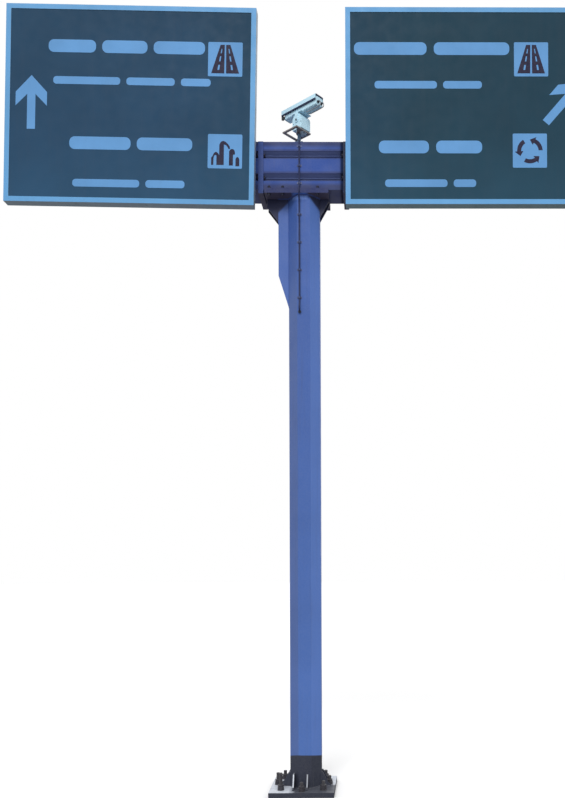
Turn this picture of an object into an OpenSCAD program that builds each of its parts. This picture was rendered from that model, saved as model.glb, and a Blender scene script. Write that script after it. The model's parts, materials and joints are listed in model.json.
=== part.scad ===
/* [Base] */
// Side of the square base plate
base_w = 640; // [620:10:720]
// Thickness of the base plate
base_t = 50; // [30:2:60]
// Distance of the plate's middle to the left of the mast's middle
base_shift = 25; // [0:1:30]
// Distance between neighbouring anchor holes at the corners
anchor_pitch = 420; // [400:5:450]
// Distance between opposite anchor holes on the sides
anchor_mid_pitch = 520; // [500:5:540]
// Diameter of an anchor hole
anchor_hole_d = 39; // [30:1:42]
// Height of a base gusset
base_gusset_h = 140; // [110:2:200]
// Reach of a base gusset along the plate
base_gusset_w = 95; // [80:1:110]
// Distance between the two gussets on the left and on the right
side_gusset_pitch = 112; // [94:1:114]
// Distance between the two gussets in front and behind
front_gusset_pitch = 137; // [120:1:140]
// Distance of their middle to the left of the mast's middle
front_gusset_shift = 44; // [36:1:48]
// Thickness of the gusset plates
gusset_t = 12; // [8:1:16]

/* [Mast] */
// Width of the eight-sided shaft across its flats
shaft_af = 310; // [280:5:330]
// Wall of the shaft
shaft_wall = 8; // [5:1:14]
// Height of the underside of the head flange above the ground
head_z = 5960; // [5600:10:6400]
// Reach of the haunch beyond the left face of the shaft
haunch_w = 105; // [60:5:110]
// Depth of the haunch from front to back
haunch_d = 120; // [100:2:120]
// Length of the straight part of the haunch
haunch_h = 775; // [500:5:900]
// Length of the tapered end of the haunch
haunch_taper_h = 330; // [200:5:450]
// Wall of the haunch
haunch_wall = 8; // [5:1:12]
// Drop of the head gussets on the side of the haunch
head_gusset_left_h = 230; // [180:5:300]
// Drop of their outer edge
head_gusset_left_nose = 85; // [60:5:160]
// Drop of the head gussets on the other side
head_gusset_right_h = 190; // [150:5:300]
// Drop of their outer edge
head_gusset_right_nose = 25; // [20:5:90]
// Distance between the two head gussets of a side
head_gusset_pitch = 96; // [60:2:104]

/* [Flanges] */
// Reach of the head flange to the left of the middle
head_flange_left = 385; // [360:1:388]
// Reach of the head flange to the right of the middle
head_flange_right = 252; // [200:1:260]
// Depth of the head flange from front to back
flange_d = 390; // [386:2:420]
// Thickness of each flange
flange_t = 25; // [16:1:30]
// Diameter of the flange bolt holes
flange_hole_d = 22; // [18:1:24]
// Distance from the beam's face to the row of head flange bolts
flange_bolt_out = 23; // [22:1:26]
// Distance of the outer left head bolts from the middle
head_bolt_out = 338; // [325:1:345]
// Distance of the inner left head bolts from the middle
head_bolt_in = 204; // [190:1:230]
// Distance of the right head bolts from the middle
head_bolt_right = 143; // [130:1:170]
// Lip of the joint flanges in front of the beam
joint_front = 8; // [4:1:20]
// Reach of the joint flanges behind the beam
joint_back = 50; // [44:1:65]
// Drop of the joint flanges below the beam
joint_drop = 38; // [10:1:45]
// Depth of the front joint bolts in the beam's grooves
groove_bolt_in = 21; // [19:1:24]

/* [Beam] */
// Height of the box beam
beam_h = 480; // [440:10:560]
// Depth of the box beam from front to back
beam_d = 300; // [280:5:310]
// Wall of the box beam
beam_wall = 8; // [5:1:12]
// Length of the centre section between its flanges
centre_w = 796; // [780:2:860]
// Distance from an edge of the beam to the middle of the nearer groove
groove_edge = 128; // [100:2:150]
// Height of a groove at the face
groove_open = 76; // [60:2:90]
// Height of a groove at its floor
groove_floor = 26; // [14:2:40]
// Depth of a groove
groove_depth = 45; // [20:1:60]
// Length of an arm beyond its flange
arm_len = 2260; // [2100:10:2400]
// Thickness of the cap on an arm's end
cap_t = 8; // [5:1:12]
// Rise of the left arm towards its tip, in degrees
camber_left = 1; // [0:0.1:2]
// Rise of the right arm towards its tip, in degrees
camber_right = 0; // [-0.4:0.1:2]

/* [Panels] */
// Width of a sign panel
panel_w = 2430; // [2300:10:2600]
// Height of a sign panel
panel_h = 1930; // [1700:10:2100]
// Clear distance between the two panels
panel_gap = 890; // [870:2:900]
// Distance of the middle of that gap to the left of the mast's middle
panel_shift = 17; // [0:1:20]
// Height of a panel's middle above the beam's middle
panel_rise = 500; // [400:10:600]
// Drop of the left panel against the right one
panel_drop = 12; // [0:1:20]
// Depth of the panel's edge channel
channel_d = 100; // [80:2:104]
// Width of the edge channel seen from the front
channel_w = 48; // [36:1:54]
// Wall of the edge channel
channel_t = 4; // [3:0.5:6]
// Thickness of the panel's sheet
sheet_t = 3; // [2:0.5:5]
// Gap between the edge of the sheet and the channel
sheet_gap = 2; // [1:0.5:4]
// Number of stiffening rails on a panel
rail_n = 4; // [3:1:5]
// Depth of a stiffening rail
rail_d = 60; // [40:2:64]
// Width of a rail across its feet
rail_w = 110; // [90:2:130]
// Width of a rail's crown
rail_crown = 50; // [36:2:60]
// Slant of a rail's sides from its feet to its crown
rail_slant = 8; // [2:1:14]
// Wall of a rail
rail_t = 3; // [2:0.5:4]
// Number of upright posts behind a panel
post_n = 3; // [2:1:3]
// Distance from one post to the next
post_pitch = 850; // [700:10:880]
// Depth of a post
post_d = 100; // [80:2:120]
// Width of a post's flanges
post_w = 64; // [50:2:80]
// Thickness of a post's flanges
post_flange_t = 7; // [5:0.5:10]
// Thickness of a post's web
post_web_t = 5; // [4:0.5:8]
// Distance from a post's ends to the panel's edges
post_inset = 70; // [62:2:100]
// Thickness of the plates that carry the posts
seat_t = 12; // [8:1:16]
// Width of the plates that carry the posts
seat_w = 140; // [110:5:170]
// Height of the plates that carry the posts
seat_h = 440; // [400:5:440]

/* [Cable] */
// Diameter of the camera's cable
cable_d = 16; // [10:1:18]
// Distance of the cable left of the middle
cable_x = 40; // [30:1:40]
// Gap between the cable and the faces that it runs along
cable_gap = 0.5; // [0.3:0.1:1.5]
// Height of the gland where the cable enters the mast
gland_z = 4790; // [4500:10:4900]
// Height of a cable clip
clip_h = 20; // [12:1:30]
// Thickness of a cable clip
clip_t = 3; // [2:0.5:4]

/* [Camera] */
// Distance of the camera's post left of the middle
device_x = 45; // [30:5:60]
// Distance of the camera's post before the middle
device_y = 100; // [95:1:105]
// Height of the camera's post with its foot
device_post_h = 105; // [90:5:160]
// Diameter of the camera's post
device_post_d = 34; // [26:1:42]
// Side of the square tray on the post
tray_w = 200; // [180:5:240]
// Width of the tray's bars
tray_bar = 22; // [16:1:28]
// Thickness of the tray
tray_t = 12; // [6:1:16]
// Turn of the tray on the post, in degrees
tray_turn = 40; // [30:1:60]
// Distance of the tray's middle left of the post
tray_shift = 25; // [0:1:40]
// Distance of the pan axis right of the post
pan_shift = 22; // [0:1:30]
// Diameter of the fixed collar under the turning head
collar_d = 104; // [90:2:120]
// Height of the collar
collar_h = 12; // [10:1:30]
// Side of the turning head
head_w = 125; // [110:5:130]
// Height of the tilt axis above the collar
tilt_h = 92; // [86:2:130]
// Distance from the tilt axis to the saddle
saddle_r = 68; // [66:1:90]
// Thickness of the cradle's plates
cradle_t = 6; // [4:1:8]
// Length of the camera's housing
housing_l = 440; // [360:10:500]
// Width of the camera's housing
housing_w = 90; // [80:2:120]
// Height of the camera's housing
housing_h = 84; // [70:2:100]
// Wall of the camera's housing
housing_wall = 3; // [2:0.5:4]
// Length of the housing before the tilt axis
housing_front = 190; // [150:5:280]
// Reach of the sun shield beyond the window
shade_reach = 40; // [20:5:60]
// Height of the sun shield above the housing
shade_gap = 12; // [8:1:20]
// Thickness of the sun shield
shade_t = 3; // [2:0.5:4]
// Direction of the camera at rest, in degrees from the beam
pan_rest = 40; // [0:5:90]
// Downward tilt of the camera at rest, in degrees
tilt_rest = 0; // [0:1:10]

/* [Hidden] */

$fn = 48;
left = -1;
right = 1;
eps = 1;

mast_blue = [0.20, 0.34, 0.62];
plinth_black = [0.13, 0.14, 0.16];
panel_green = [0.06, 0.30, 0.34];
panel_white = [0.62, 0.80, 0.90];
steel_grey = [0.45, 0.47, 0.50];
cable_black = [0.08, 0.08, 0.10];
camera_white = [0.90, 0.93, 0.94];
glass_dark = [0.08, 0.10, 0.12];

shaft_r = shaft_af / 2 / cos(22.5);
shaft_in_r = (shaft_af / 2 - shaft_wall) / cos(22.5);
beam_z = head_z + 2 * flange_t;
beam_mid_z = beam_z + beam_h / 2;
beam_top_z = beam_z + beam_h;
joint_x = centre_w / 2 + flange_t;
arm_x = joint_x + flange_t;
flange_bolt_y = beam_d / 2 + flange_bolt_out;

seat_y = -beam_d / 2 - seat_t;
post_y = seat_y - post_d;
rail_y = post_y - rail_d;
sheet_y = rail_y - sheet_t;
panel_y = sheet_y - channel_t;

cable_r = cable_d / 2;
clip_in_r = cable_r + 0.3;
clip_out_r = clip_in_r + clip_t;
cable_beam_y = -beam_d / 2 - cable_r - cable_gap;
cable_mast_y = -shaft_af / 2 - cable_r - cable_gap;
cable_flange_y = -flange_d / 2 - cable_r - 3;
post_foot_t = 8;
post_foot_w = 84;
cable_route = [
    [-device_y - device_post_d / 2, beam_top_z + post_foot_t + cable_r + 6],
    [-beam_d / 2 + 2, beam_top_z + cable_r + 12],
    [cable_beam_y, beam_top_z + 6],
    [cable_beam_y, beam_z + 50],
    [cable_flange_y, beam_z + 15],
    [cable_flange_y, head_z - 15],
    [cable_mast_y, head_z - 60],
    [cable_mast_y, gland_z + 90],
    [cable_mast_y - 30, gland_z + 45],
    [cable_mast_y - 30, gland_z + 20],
    [cable_mast_y - 14, gland_z],
    [-shaft_af / 2 + shaft_wall / 2, gland_z]];
beam_clips = [beam_top_z - 45, beam_mid_z, beam_z + 66];
mast_clips = [for (i = [0:3]) head_z - 200 - i * (head_z - 200 - gland_z - 140) / 3];

tray_z = beam_top_z + device_post_h;
collar_z = tray_z + tray_t;
run_gap = 0.3;
head_base_z = collar_z + collar_h + run_gap;
tilt_z = head_base_z + tilt_h;
spigot_r = 20;
spigot_h = 26;
shaft_stub_r = 12;
cradle_y = head_w / 2 + 0.5;
saddle_top = saddle_r + cradle_t;
housing_edge_r = 14;
housing_rear = housing_l - housing_front;
window_inset = 14;
window_t = 4;
shade_w = housing_w + 20;
shade_skirt = 46;

// Eight-sided outline with flat faces to the front and the sides
module octagon(r) {
    rotate(22.5) circle(r = r, $fn = 8);
}

// Base plate with four corner anchor holes and four between them
module base_plate() {
    color(plinth_black)
    translate([-base_shift, 0, 0]) difference() {
        translate([-base_w / 2, -base_w / 2, 0]) cube([base_w, base_w, base_t]);
        for (i = [-1, 0, 1], j = [-1, 0, 1])
            if (i != 0 || j != 0) {
                pitch = i == 0 || j == 0 ? anchor_mid_pitch : anchor_pitch;
                translate([i * pitch / 2, j * pitch / 2, -eps])
                    cylinder(d = anchor_hole_d, h = base_t + 2 * eps);
            }
    }
}

// Upright plate on the base plate along +X, drawn from within the shaft outwards
module base_gusset() {
    root = -75;
    translate([shaft_af / 2, gusset_t / 2, base_t]) rotate([90, 0, 0]) linear_extrude(gusset_t)
        polygon([[root, 0], [base_gusset_w, 0], [base_gusset_w, 12],
            [base_gusset_w * 0.78, base_gusset_h * 0.2], [12, base_gusset_h], [root, base_gusset_h]]);
}

// A pair of gussets on each of the four sides, cut to the shaft, with an anchor hole between them
module base_gussets() {
    color(plinth_black)
    difference() {
        for (k = [left, right], a = [0, 180]) {
            rotate(a) translate([0, k * side_gusset_pitch / 2, 0]) base_gusset();
            translate([k * front_gusset_pitch / 2 - front_gusset_shift, 0, 0]) rotate(a + 90)
                base_gusset();
        }
        translate([0, 0, base_t - eps]) linear_extrude(base_gusset_h + 2 * eps) octagon(shaft_r);
    }
}

// Hollow eight-sided shaft with the hole of the cable gland
module mast_shaft() {
    color(mast_blue)
    difference() {
        translate([0, 0, base_t]) linear_extrude(head_z - base_t)
            difference() {
                octagon(shaft_r);
                octagon(shaft_in_r);
            }
        translate([-cable_x, -shaft_af / 2 - eps, gland_z]) rotate([-90, 0, 0])
            cylinder(r = cable_r + 3, h = shaft_wall + 2 * eps);
    }
}

// Outline of the haunch, drawn back from its outer faces by inset and reaching back past the shaft
module haunch_outline(inset, back) {
    slope = atan2(haunch_w, haunch_taper_h);
    low = haunch_h + haunch_taper_h - inset / sin(slope);
    polygon([[back, -inset], [-haunch_w + inset, -inset],
        [-haunch_w + inset, -haunch_h + inset * tan(slope / 2)],
        [back, -low - back / tan(slope)]]);
}

// Box that widens the head of the mast on its left side
module head_haunch() {
    color(mast_blue)
    translate([-shaft_af / 2, haunch_d / 2, head_z]) rotate([90, 0, 0])
        difference() {
            linear_extrude(haunch_d) haunch_outline(0, 0);
            translate([0, 0, haunch_wall]) linear_extrude(haunch_d - 2 * haunch_wall)
                haunch_outline(haunch_wall, eps);
        }
}

// Plate under the head flange: reach w, drop h at the mast and nose at its outer edge
module head_gusset(w, h, nose) {
    translate([0, gusset_t / 2, 0]) rotate([90, 0, 0]) linear_extrude(gusset_t)
        polygon([[0, 0], [w, 0], [w, -nose], [0, -h]]);
}

// Two gussets on the haunch and two on the right face of the shaft
module head_gussets() {
    color(mast_blue)
    for (y = [-head_gusset_pitch / 2, head_gusset_pitch / 2]) {
        translate([shaft_af / 2, y, head_z])
            head_gusset(head_flange_right - shaft_af / 2 - 5, head_gusset_right_h,
                head_gusset_right_nose);
        translate([-shaft_af / 2 - haunch_w, y, head_z]) mirror([1, 0, 0])
            head_gusset(head_flange_left - shaft_af / 2 - haunch_w - 12, head_gusset_left_h,
                head_gusset_left_nose);
    }
}

// Flange plate with a row of bolt holes before the beam and one behind it
module head_flange_plate() {
    difference() {
        translate([-head_flange_left, -flange_d / 2, 0])
            cube([head_flange_left + head_flange_right, flange_d, flange_t]);
        for (x = [-head_bolt_out, -head_bolt_in, head_bolt_right], j = [left, right])
            translate([x, j * flange_bolt_y, -eps])
                cylinder(d = flange_hole_d, h = flange_t + 2 * eps);
    }
}

module mast_head_flange() {
    color(mast_blue) translate([0, 0, head_z]) head_flange_plate();
}

module beam_foot_flange() {
    color(mast_blue) translate([0, 0, head_z + flange_t]) head_flange_plate();
}

// Front or back side of the beam's outline from top to bottom, drawn in by inset
function groove_side(inset) =
    let (k = inset * tan(atan2(groove_depth, (groove_open - groove_floor) / 2) / 2),
        y = beam_d / 2 - inset)
    [[y, beam_h / 2 - inset],
        for (z = [beam_h / 2 - groove_edge, groove_edge - beam_h / 2]) each [
            [y, z + groove_open / 2 + k],
            [y - groove_depth, z + groove_floor / 2 + k],
            [y - groove_depth, z - groove_floor / 2 - k],
            [y, z - groove_open / 2 - k]],
        [y, inset - beam_h / 2]];

// Outline of the box beam about its middle, with two grooves in front and two behind
module beam_outline(inset) {
    side = groove_side(inset);
    n = len(side);
    polygon([for (p = side) p, for (i = [n - 1:-1:0]) [-side[i][0], side[i][1]]]);
}

// Hollow length of the box beam along +X, about the beam's middle
module beam_tube(length) {
    rotate([90, 0, 90]) linear_extrude(length)
        difference() {
            beam_outline(0);
            beam_outline(beam_wall);
        }
}

module beam_centre() {
    color(mast_blue) translate([-centre_w / 2, 0, beam_mid_z]) beam_tube(centre_w);
}

// Flange of a beam joint along +X, with bolt holes behind the box and in its front grooves
module joint_flange() {
    low = beam_h / 2 + joint_drop;
    difference() {
        translate([0, -beam_d / 2 - joint_front, -low])
            cube([flange_t, beam_d + joint_front + joint_back, low + beam_h / 2]);
        for (i = [-1.5:1:1.5])
            joint_hole(beam_d / 2 + joint_back / 2, i * beam_h / 4);
        for (side = [left, right])
            joint_hole(groove_bolt_in - beam_d / 2, side * (beam_h / 2 - groove_edge));
    }
}

module joint_hole(y, z) {
    translate([-eps, y, z]) rotate([0, 90, 0])
        cylinder(d = flange_hole_d, h = flange_t + 2 * eps);
}

// Places its children, drawn along +X, on the left or right side of the mast
module on_side(side) {
    if (side == left)
        mirror([1, 0, 0]) children();
    else
        children();
}

// Axes of an arm: the origin on the beam's middle at its joint, turned by its camber
module arm_axes(side) {
    on_side(side) translate([arm_x, 0, beam_mid_z])
        rotate([0, side == left ? -camber_left : -camber_right, 0]) children();
}

module centre_flange(side) {
    color(mast_blue) on_side(side) translate([centre_w / 2, 0, beam_mid_z]) joint_flange();
}

module arm_flange(side) {
    color(mast_blue) on_side(side) translate([joint_x, 0, beam_mid_z]) joint_flange();
}

// Arm that follows its camber and is cut square against its flange
module arm(side) {
    overrun = 30;
    color(mast_blue)
    difference() {
        arm_axes(side) translate([-overrun, 0, 0]) beam_tube(arm_len + overrun);
        on_side(side) translate([arm_x - 3 * overrun, -beam_d, beam_mid_z - beam_h])
            cube([3 * overrun, 2 * beam_d, 2 * beam_h]);
    }
}

// Plate that closes the arm's outer end
module arm_cap(side) {
    color(mast_blue)
    arm_axes(side) translate([arm_len, 0, 0]) rotate([90, 0, 90])
        linear_extrude(cap_t) beam_outline(0);
}

// Distance from the start of an arm to its panel
function panel_x(side) = panel_gap / 2 - side * panel_shift - arm_x;

// Height of a panel's lower edge above the middle of its arm
function panel_z(side) = panel_rise - panel_h / 2 - (side == left ? panel_drop : 0);

// Places its children at each upright post, in the axes of the arm
module at_posts(side) {
    for (i = [0:post_n - 1])
        translate([panel_x(side) + panel_w / 2 + (i - (post_n - 1) / 2) * post_pitch, 0, 0])
            children();
}

// Plates on the front of the arm that carry the posts
module post_seats(side) {
    color(mast_blue)
    arm_axes(side) at_posts(side)
        translate([-seat_w / 2, seat_y, -seat_h / 2]) cube([seat_w, seat_t, seat_h]);
}

// Outline of an I-section with its web along Y
module i_section() {
    translate([-post_w / 2, 0]) square([post_w, post_flange_t]);
    translate([-post_w / 2, post_d - post_flange_t]) square([post_w, post_flange_t]);
    translate([-post_web_t / 2, 0]) square([post_web_t, post_d]);
}

// Upright posts behind the panel
module panel_posts(side) {
    color(mast_blue)
    arm_axes(side) at_posts(side)
        translate([0, post_y, panel_z(side) + post_inset])
            linear_extrude(panel_h - 2 * post_inset) i_section();
}

// Outline of a hat-shaped rail, its feet at zero and its crown at rail_d
module hat_section() {
    foot = (rail_w - rail_crown) / 2 - rail_slant;
    half = [[rail_w / 2, 0], [rail_w / 2, rail_t], [rail_w / 2 - foot + rail_t, rail_t],
        [rail_crown / 2, rail_d]];
    inner = [[rail_crown / 2 - rail_t, rail_d - rail_t], [rail_w / 2 - foot, 0]];
    polygon([for (p = half) p, for (i = [3:-1:0]) [-half[i][0], half[i][1]],
        [-inner[1][0], inner[1][1]], [-inner[0][0], inner[0][1]], inner[0], inner[1]]);
}

// Level rails that stiffen the sheet between the two sides of the frame
module panel_rails(side) {
    length = panel_w - 2 * channel_t - 0.6;
    color(steel_grey)
    arm_axes(side)
        for (i = [0:rail_n - 1])
            translate([panel_x(side) + (panel_w - length) / 2, rail_y,
                    panel_z(side) + panel_h * (i + 0.5) / rail_n])
                rotate([90, 0, 90]) linear_extrude(length) mirror([1, -1]) hat_section();
}

// Sheet that carries the sign's face, behind the front lips of the frame
module panel_sheet(side) {
    margin = channel_t + sheet_gap;
    color(panel_green)
    arm_axes(side) translate([panel_x(side) + margin, sheet_y, panel_z(side) + margin])
        cube([panel_w - 2 * margin, sheet_t, panel_h - 2 * margin]);
}

// Outline of the edge channel: its web at zero, its two lips towards +X, its front at zero
module channel_section() {
    difference() {
        square([channel_w, channel_d]);
        translate([channel_t, channel_t])
            square([channel_w, channel_d - 2 * channel_t]);
    }
}

// Length of edge channel along +X with its web below, mitred at both ends
module frame_member(length) {
    intersection() {
        rotate([90, 0, 90]) linear_extrude(length) mirror([1, -1]) channel_section();
        translate([0, channel_d, 0]) rotate([90, 0, 0]) linear_extrude(channel_d)
            polygon([[0, 0], [length, 0], [length - channel_w, channel_w], [channel_w, channel_w]]);
    }
}

// Top and bottom members of the panel's frame
module frame_bars(side) {
    color(panel_white)
    arm_axes(side) translate([panel_x(side), panel_y, panel_z(side)]) {
        frame_member(panel_w);
        translate([0, 0, panel_h]) mirror([0, 0, 1]) frame_member(panel_w);
    }
}

// Inner and outer upright members of the panel's frame
module frame_sides(side) {
    color(panel_white)
    arm_axes(side) translate([panel_x(side), panel_y, panel_z(side)]) {
        mirror([1, 0, 0]) rotate([0, -90, 0]) frame_member(panel_h);
        translate([panel_w, 0, 0]) rotate([0, -90, 0]) frame_member(panel_h);
    }
}

// Normal of a stretch of the cable's route, in the plane of the route
function stretch_normal(i) =
    let (d = cable_route[i + 1] - cable_route[i]) [-d[1], d[0]] / norm(d);

// Mitred normal where two stretches of the route meet
function ring_normal(i) =
    let (a = stretch_normal(max(i - 1, 0)),
        b = stretch_normal(min(i, len(cable_route) - 2)))
    (a + b) / (1 + a * b);

// Cable from the camera's post down the beam and the mast to its gland
module cable() {
    sides = 12;
    rings = len(cable_route);
    points = [for (i = [0:rings - 1], j = [0:sides - 1])
        let (m = cable_r * sin(360 * j / sides) * ring_normal(i))
        [-cable_x + cable_r * cos(360 * j / sides), cable_route[i][0] + m[0], cable_route[i][1] + m[1]]];
    walls = [for (i = [0:rings - 2], j = [0:sides - 1])
        let (k = (j + 1) % sides)
        [i * sides + j, i * sides + k, (i + 1) * sides + k, (i + 1) * sides + j]];
    color(cable_black)
        polyhedron(points, concat(walls,
            [[for (j = [sides - 1:-1:0]) j], [for (j = [0:sides - 1]) (rings - 1) * sides + j]]));
}

// Strap over the cable with a foot on each side, on a face that looks towards -Y
module cable_clip() {
    axis_y = -cable_r - cable_gap;
    foot = 13;
    translate([0, 0, -clip_h / 2])
        difference() {
            union() {
                translate([-clip_out_r - foot, -clip_t, 0])
                    cube([2 * (clip_out_r + foot), clip_t, clip_h]);
                translate([0, axis_y, 0]) cylinder(r = clip_out_r, h = clip_h);
                translate([-clip_out_r, axis_y, 0]) cube([2 * clip_out_r, -axis_y, clip_h]);
            }
            translate([0, axis_y, -eps]) cylinder(r = clip_in_r, h = clip_h + 2 * eps);
            translate([-clip_in_r, axis_y, -eps])
                cube([2 * clip_in_r, -axis_y + 2 * clip_out_r, clip_h + 2 * eps]);
            translate([-clip_out_r - foot - eps, 0, -eps])
                cube([2 * (clip_out_r + foot + eps), 2 * clip_out_r, clip_h + 2 * eps]);
        }
}

// Clips that hold the cable on the beam and on the mast
module cable_clips() {
    color(steel_grey) {
        for (z = beam_clips) translate([-cable_x, -beam_d / 2, z]) cable_clip();
        for (z = mast_clips) translate([-cable_x, -shaft_af / 2, z]) cable_clip();
    }
}

// Gland that leads the cable through the wall of the mast
module cable_gland() {
    color(cable_black)
    translate([-cable_x, -shaft_af / 2, gland_z]) rotate([90, 0, 0])
        difference() {
            union() {
                cylinder(r = cable_r + 8, h = 8, $fn = 6);
                cylinder(r = cable_r + 5, h = 18);
            }
            translate([0, 0, -eps]) cylinder(r = clip_in_r, h = 18 + 2 * eps);
        }
}

// Places its children on the camera's post, above the beam
module device_axes(z) {
    translate([-device_x, -device_y, z]) children();
}

// Places its children on the pan axis
module pan_axes(z) {
    device_axes(z) translate([pan_shift, 0, 0]) children();
}

// Places its children on the middle of the tray, turned with it
module tray_axes() {
    translate([-tray_shift, 0]) rotate(-tray_turn) children();
}

// Short tube on a square foot
module camera_post() {
    color(steel_grey)
    device_axes(beam_top_z) {
        translate([-post_foot_w / 2, -post_foot_w / 2, 0])
            cube([post_foot_w, post_foot_w, post_foot_t]);
        cylinder(d = device_post_d, h = device_post_h);
    }
}

// Open square tray with one corner towards the front, a bar across it over the post and a
// round seat for the collar
module camera_tray() {
    color(steel_grey)
    device_axes(tray_z) linear_extrude(tray_t) {
        tray_axes() difference() {
            square(tray_w, center = true);
            square(tray_w - 2 * tray_bar, center = true);
        }
        intersection() {
            tray_axes() square(tray_w, center = true);
            square([device_post_d, 2 * tray_w], center = true);
        }
        translate([pan_shift, 0]) circle(d = collar_d);
    }
}

// Fixed collar with the spigot that the head turns on
module pan_collar() {
    color(camera_white)
    pan_axes(collar_z) {
        cylinder(d = collar_d, h = collar_h);
        cylinder(r = spigot_r, h = collar_h + spigot_h);
    }
}

// Axes of the turning head: the camera looks along -X, the origin is on the tilt axis
module head_axes() {
    pan_axes(tilt_z) rotate(-pan_rest) children();
}

// Axes of the tilting camera, turned down by its tilt at rest
module camera_axes() {
    head_axes() rotate([0, -tilt_rest, 0]) children();
}

// Turning head with a barrel top about the tilt axis and a shaft stub on both sides
module pan_tilt_head() {
    color(camera_white)
    head_axes() {
        difference() {
            rotate([90, 0, 0]) linear_extrude(head_w, center = true) {
                circle(d = head_w);
                translate([-head_w / 2, -tilt_h]) square([head_w, tilt_h]);
            }
            translate([0, 0, -tilt_h - eps]) cylinder(r = spigot_r + run_gap, h = spigot_h + 2 * eps);
        }
        rotate([90, 0, 0])
            cylinder(r = shaft_stub_r, h = 2 * (cradle_y + cradle_t + 3), center = true);
    }
}

// Outline of a cradle's side plate, round about the tilt axis
module cradle_side() {
    difference() {
        union() {
            circle(r = shaft_stub_r + 12);
            translate([-shaft_stub_r - 12, 0]) square([2 * shaft_stub_r + 24, saddle_top]);
        }
        circle(r = shaft_stub_r + run_gap);
    }
}

// Cradle: two plates on the shaft stubs and the saddle that joins them
module tilt_cradle() {
    color(camera_white)
    camera_axes() {
        for (y = [cradle_y + cradle_t, -cradle_y])
            translate([0, y, 0]) rotate([90, 0, 0]) linear_extrude(cradle_t) cradle_side();
        translate([-70, -cradle_y - cradle_t, saddle_r])
            cube([140, 2 * (cradle_y + cradle_t), cradle_t]);
    }
}

// Outline of the housing across its length, with rounded edges, drawn in by inset
module housing_outline(inset) {
    r = housing_edge_r - inset;
    w = housing_w / 2 - housing_edge_r;
    h = housing_h / 2 - housing_edge_r;
    for (y = [-w, w], z = [-h, h]) translate([y, z]) circle(r = r);
    square([2 * w + 2 * r, 2 * h], center = true);
    square([2 * w, 2 * h + 2 * r], center = true);
}

// Hollow camera housing on the saddle, open at the front and closed at the rear
module camera_housing() {
    color(camera_white)
    camera_axes() translate([-housing_front, 0, saddle_top + housing_h / 2]) rotate([90, 0, 90])
        difference() {
            linear_extrude(housing_l) housing_outline(0);
            translate([0, 0, -eps]) linear_extrude(housing_l - housing_wall + eps)
                housing_outline(housing_wall);
        }
}

// Window set into the open front of the housing
module camera_window() {
    color(glass_dark)
    camera_axes() translate([window_inset - housing_front, 0, saddle_top + housing_h / 2])
        rotate([90, 0, 90]) linear_extrude(window_t) housing_outline(housing_wall + 0.3);
}

// Two glands at the rear of the housing
module camera_glands() {
    color(cable_black)
    camera_axes()
        for (y = [-22, 22])
            translate([housing_rear, y, saddle_top + housing_h * 0.35]) rotate([0, 90, 0]) {
                cylinder(r = 14, h = 8, $fn = 6);
                cylinder(r = 10, h = 22);
            }
}

// Folded sun shield on four spacers
module sun_shield() {
    top = saddle_top + housing_h + shade_gap;
    length = housing_l + shade_reach;
    color(camera_white)
    camera_axes() translate([-housing_front - shade_reach, 0, top]) {
        translate([0, -shade_w / 2, 0]) cube([length, shade_w, shade_t]);
        for (side = [left, right])
            translate([0, side * (shade_w / 2 - shade_t / 2) - shade_t / 2, -shade_skirt])
                cube([length, shade_t, shade_skirt + shade_t]);
        for (x = [shade_reach + 60, length - 60], y = [-30, 30])
            translate([x, y, -shade_gap]) cylinder(d = 10, h = shade_gap + shade_t);
    }
}

base_plate();
base_gussets();
mast_shaft();
head_haunch();
head_gussets();
mast_head_flange();
beam_foot_flange();
beam_centre();
centre_flange(left);  // centre_flange_left
centre_flange(right);  // centre_flange_right
arm_flange(left);  // arm_flange_left
arm_flange(right);  // arm_flange_right
arm(left);  // arm_left
arm(right);  // arm_right
arm_cap(left);  // arm_cap_left
arm_cap(right);  // arm_cap_right
post_seats(left);  // post_seats_left
post_seats(right);  // post_seats_right
panel_posts(left);  // panel_posts_left
panel_posts(right);  // panel_posts_right
panel_rails(left);  // panel_rails_left
panel_rails(right);  // panel_rails_right
panel_sheet(left);  // panel_sheet_left
panel_sheet(right);  // panel_sheet_right
frame_bars(left);  // frame_bars_left
frame_bars(right);  // frame_bars_right
frame_sides(left);  // frame_sides_left
frame_sides(right);  // frame_sides_right
cable();
cable_clips();
cable_gland();
camera_post();
camera_tray();
pan_collar();
pan_tilt_head();
tilt_cradle();
camera_housing();
camera_window();
camera_glands();
sun_shield();
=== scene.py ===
import json
import random
from collections import namedtuple
from math import copysign, cos, pi, radians, sin, sqrt, tau

import bmesh
import bpy
from mathutils import Matrix, Vector


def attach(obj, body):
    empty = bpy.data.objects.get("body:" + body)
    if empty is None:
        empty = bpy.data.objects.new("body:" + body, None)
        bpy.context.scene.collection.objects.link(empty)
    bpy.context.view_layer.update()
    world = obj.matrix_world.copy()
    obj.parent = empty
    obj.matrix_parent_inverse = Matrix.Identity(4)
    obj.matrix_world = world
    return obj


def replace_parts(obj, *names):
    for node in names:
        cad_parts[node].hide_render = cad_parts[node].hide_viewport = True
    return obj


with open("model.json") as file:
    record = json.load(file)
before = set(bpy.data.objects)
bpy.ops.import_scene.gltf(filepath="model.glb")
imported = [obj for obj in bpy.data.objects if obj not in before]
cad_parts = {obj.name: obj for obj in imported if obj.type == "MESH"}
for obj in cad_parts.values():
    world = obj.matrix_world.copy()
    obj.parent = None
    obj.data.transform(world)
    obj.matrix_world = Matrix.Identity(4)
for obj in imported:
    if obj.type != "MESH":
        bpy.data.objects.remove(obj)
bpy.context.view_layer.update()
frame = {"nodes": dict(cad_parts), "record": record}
random.seed(7)
scene = bpy.context.scene

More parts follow.
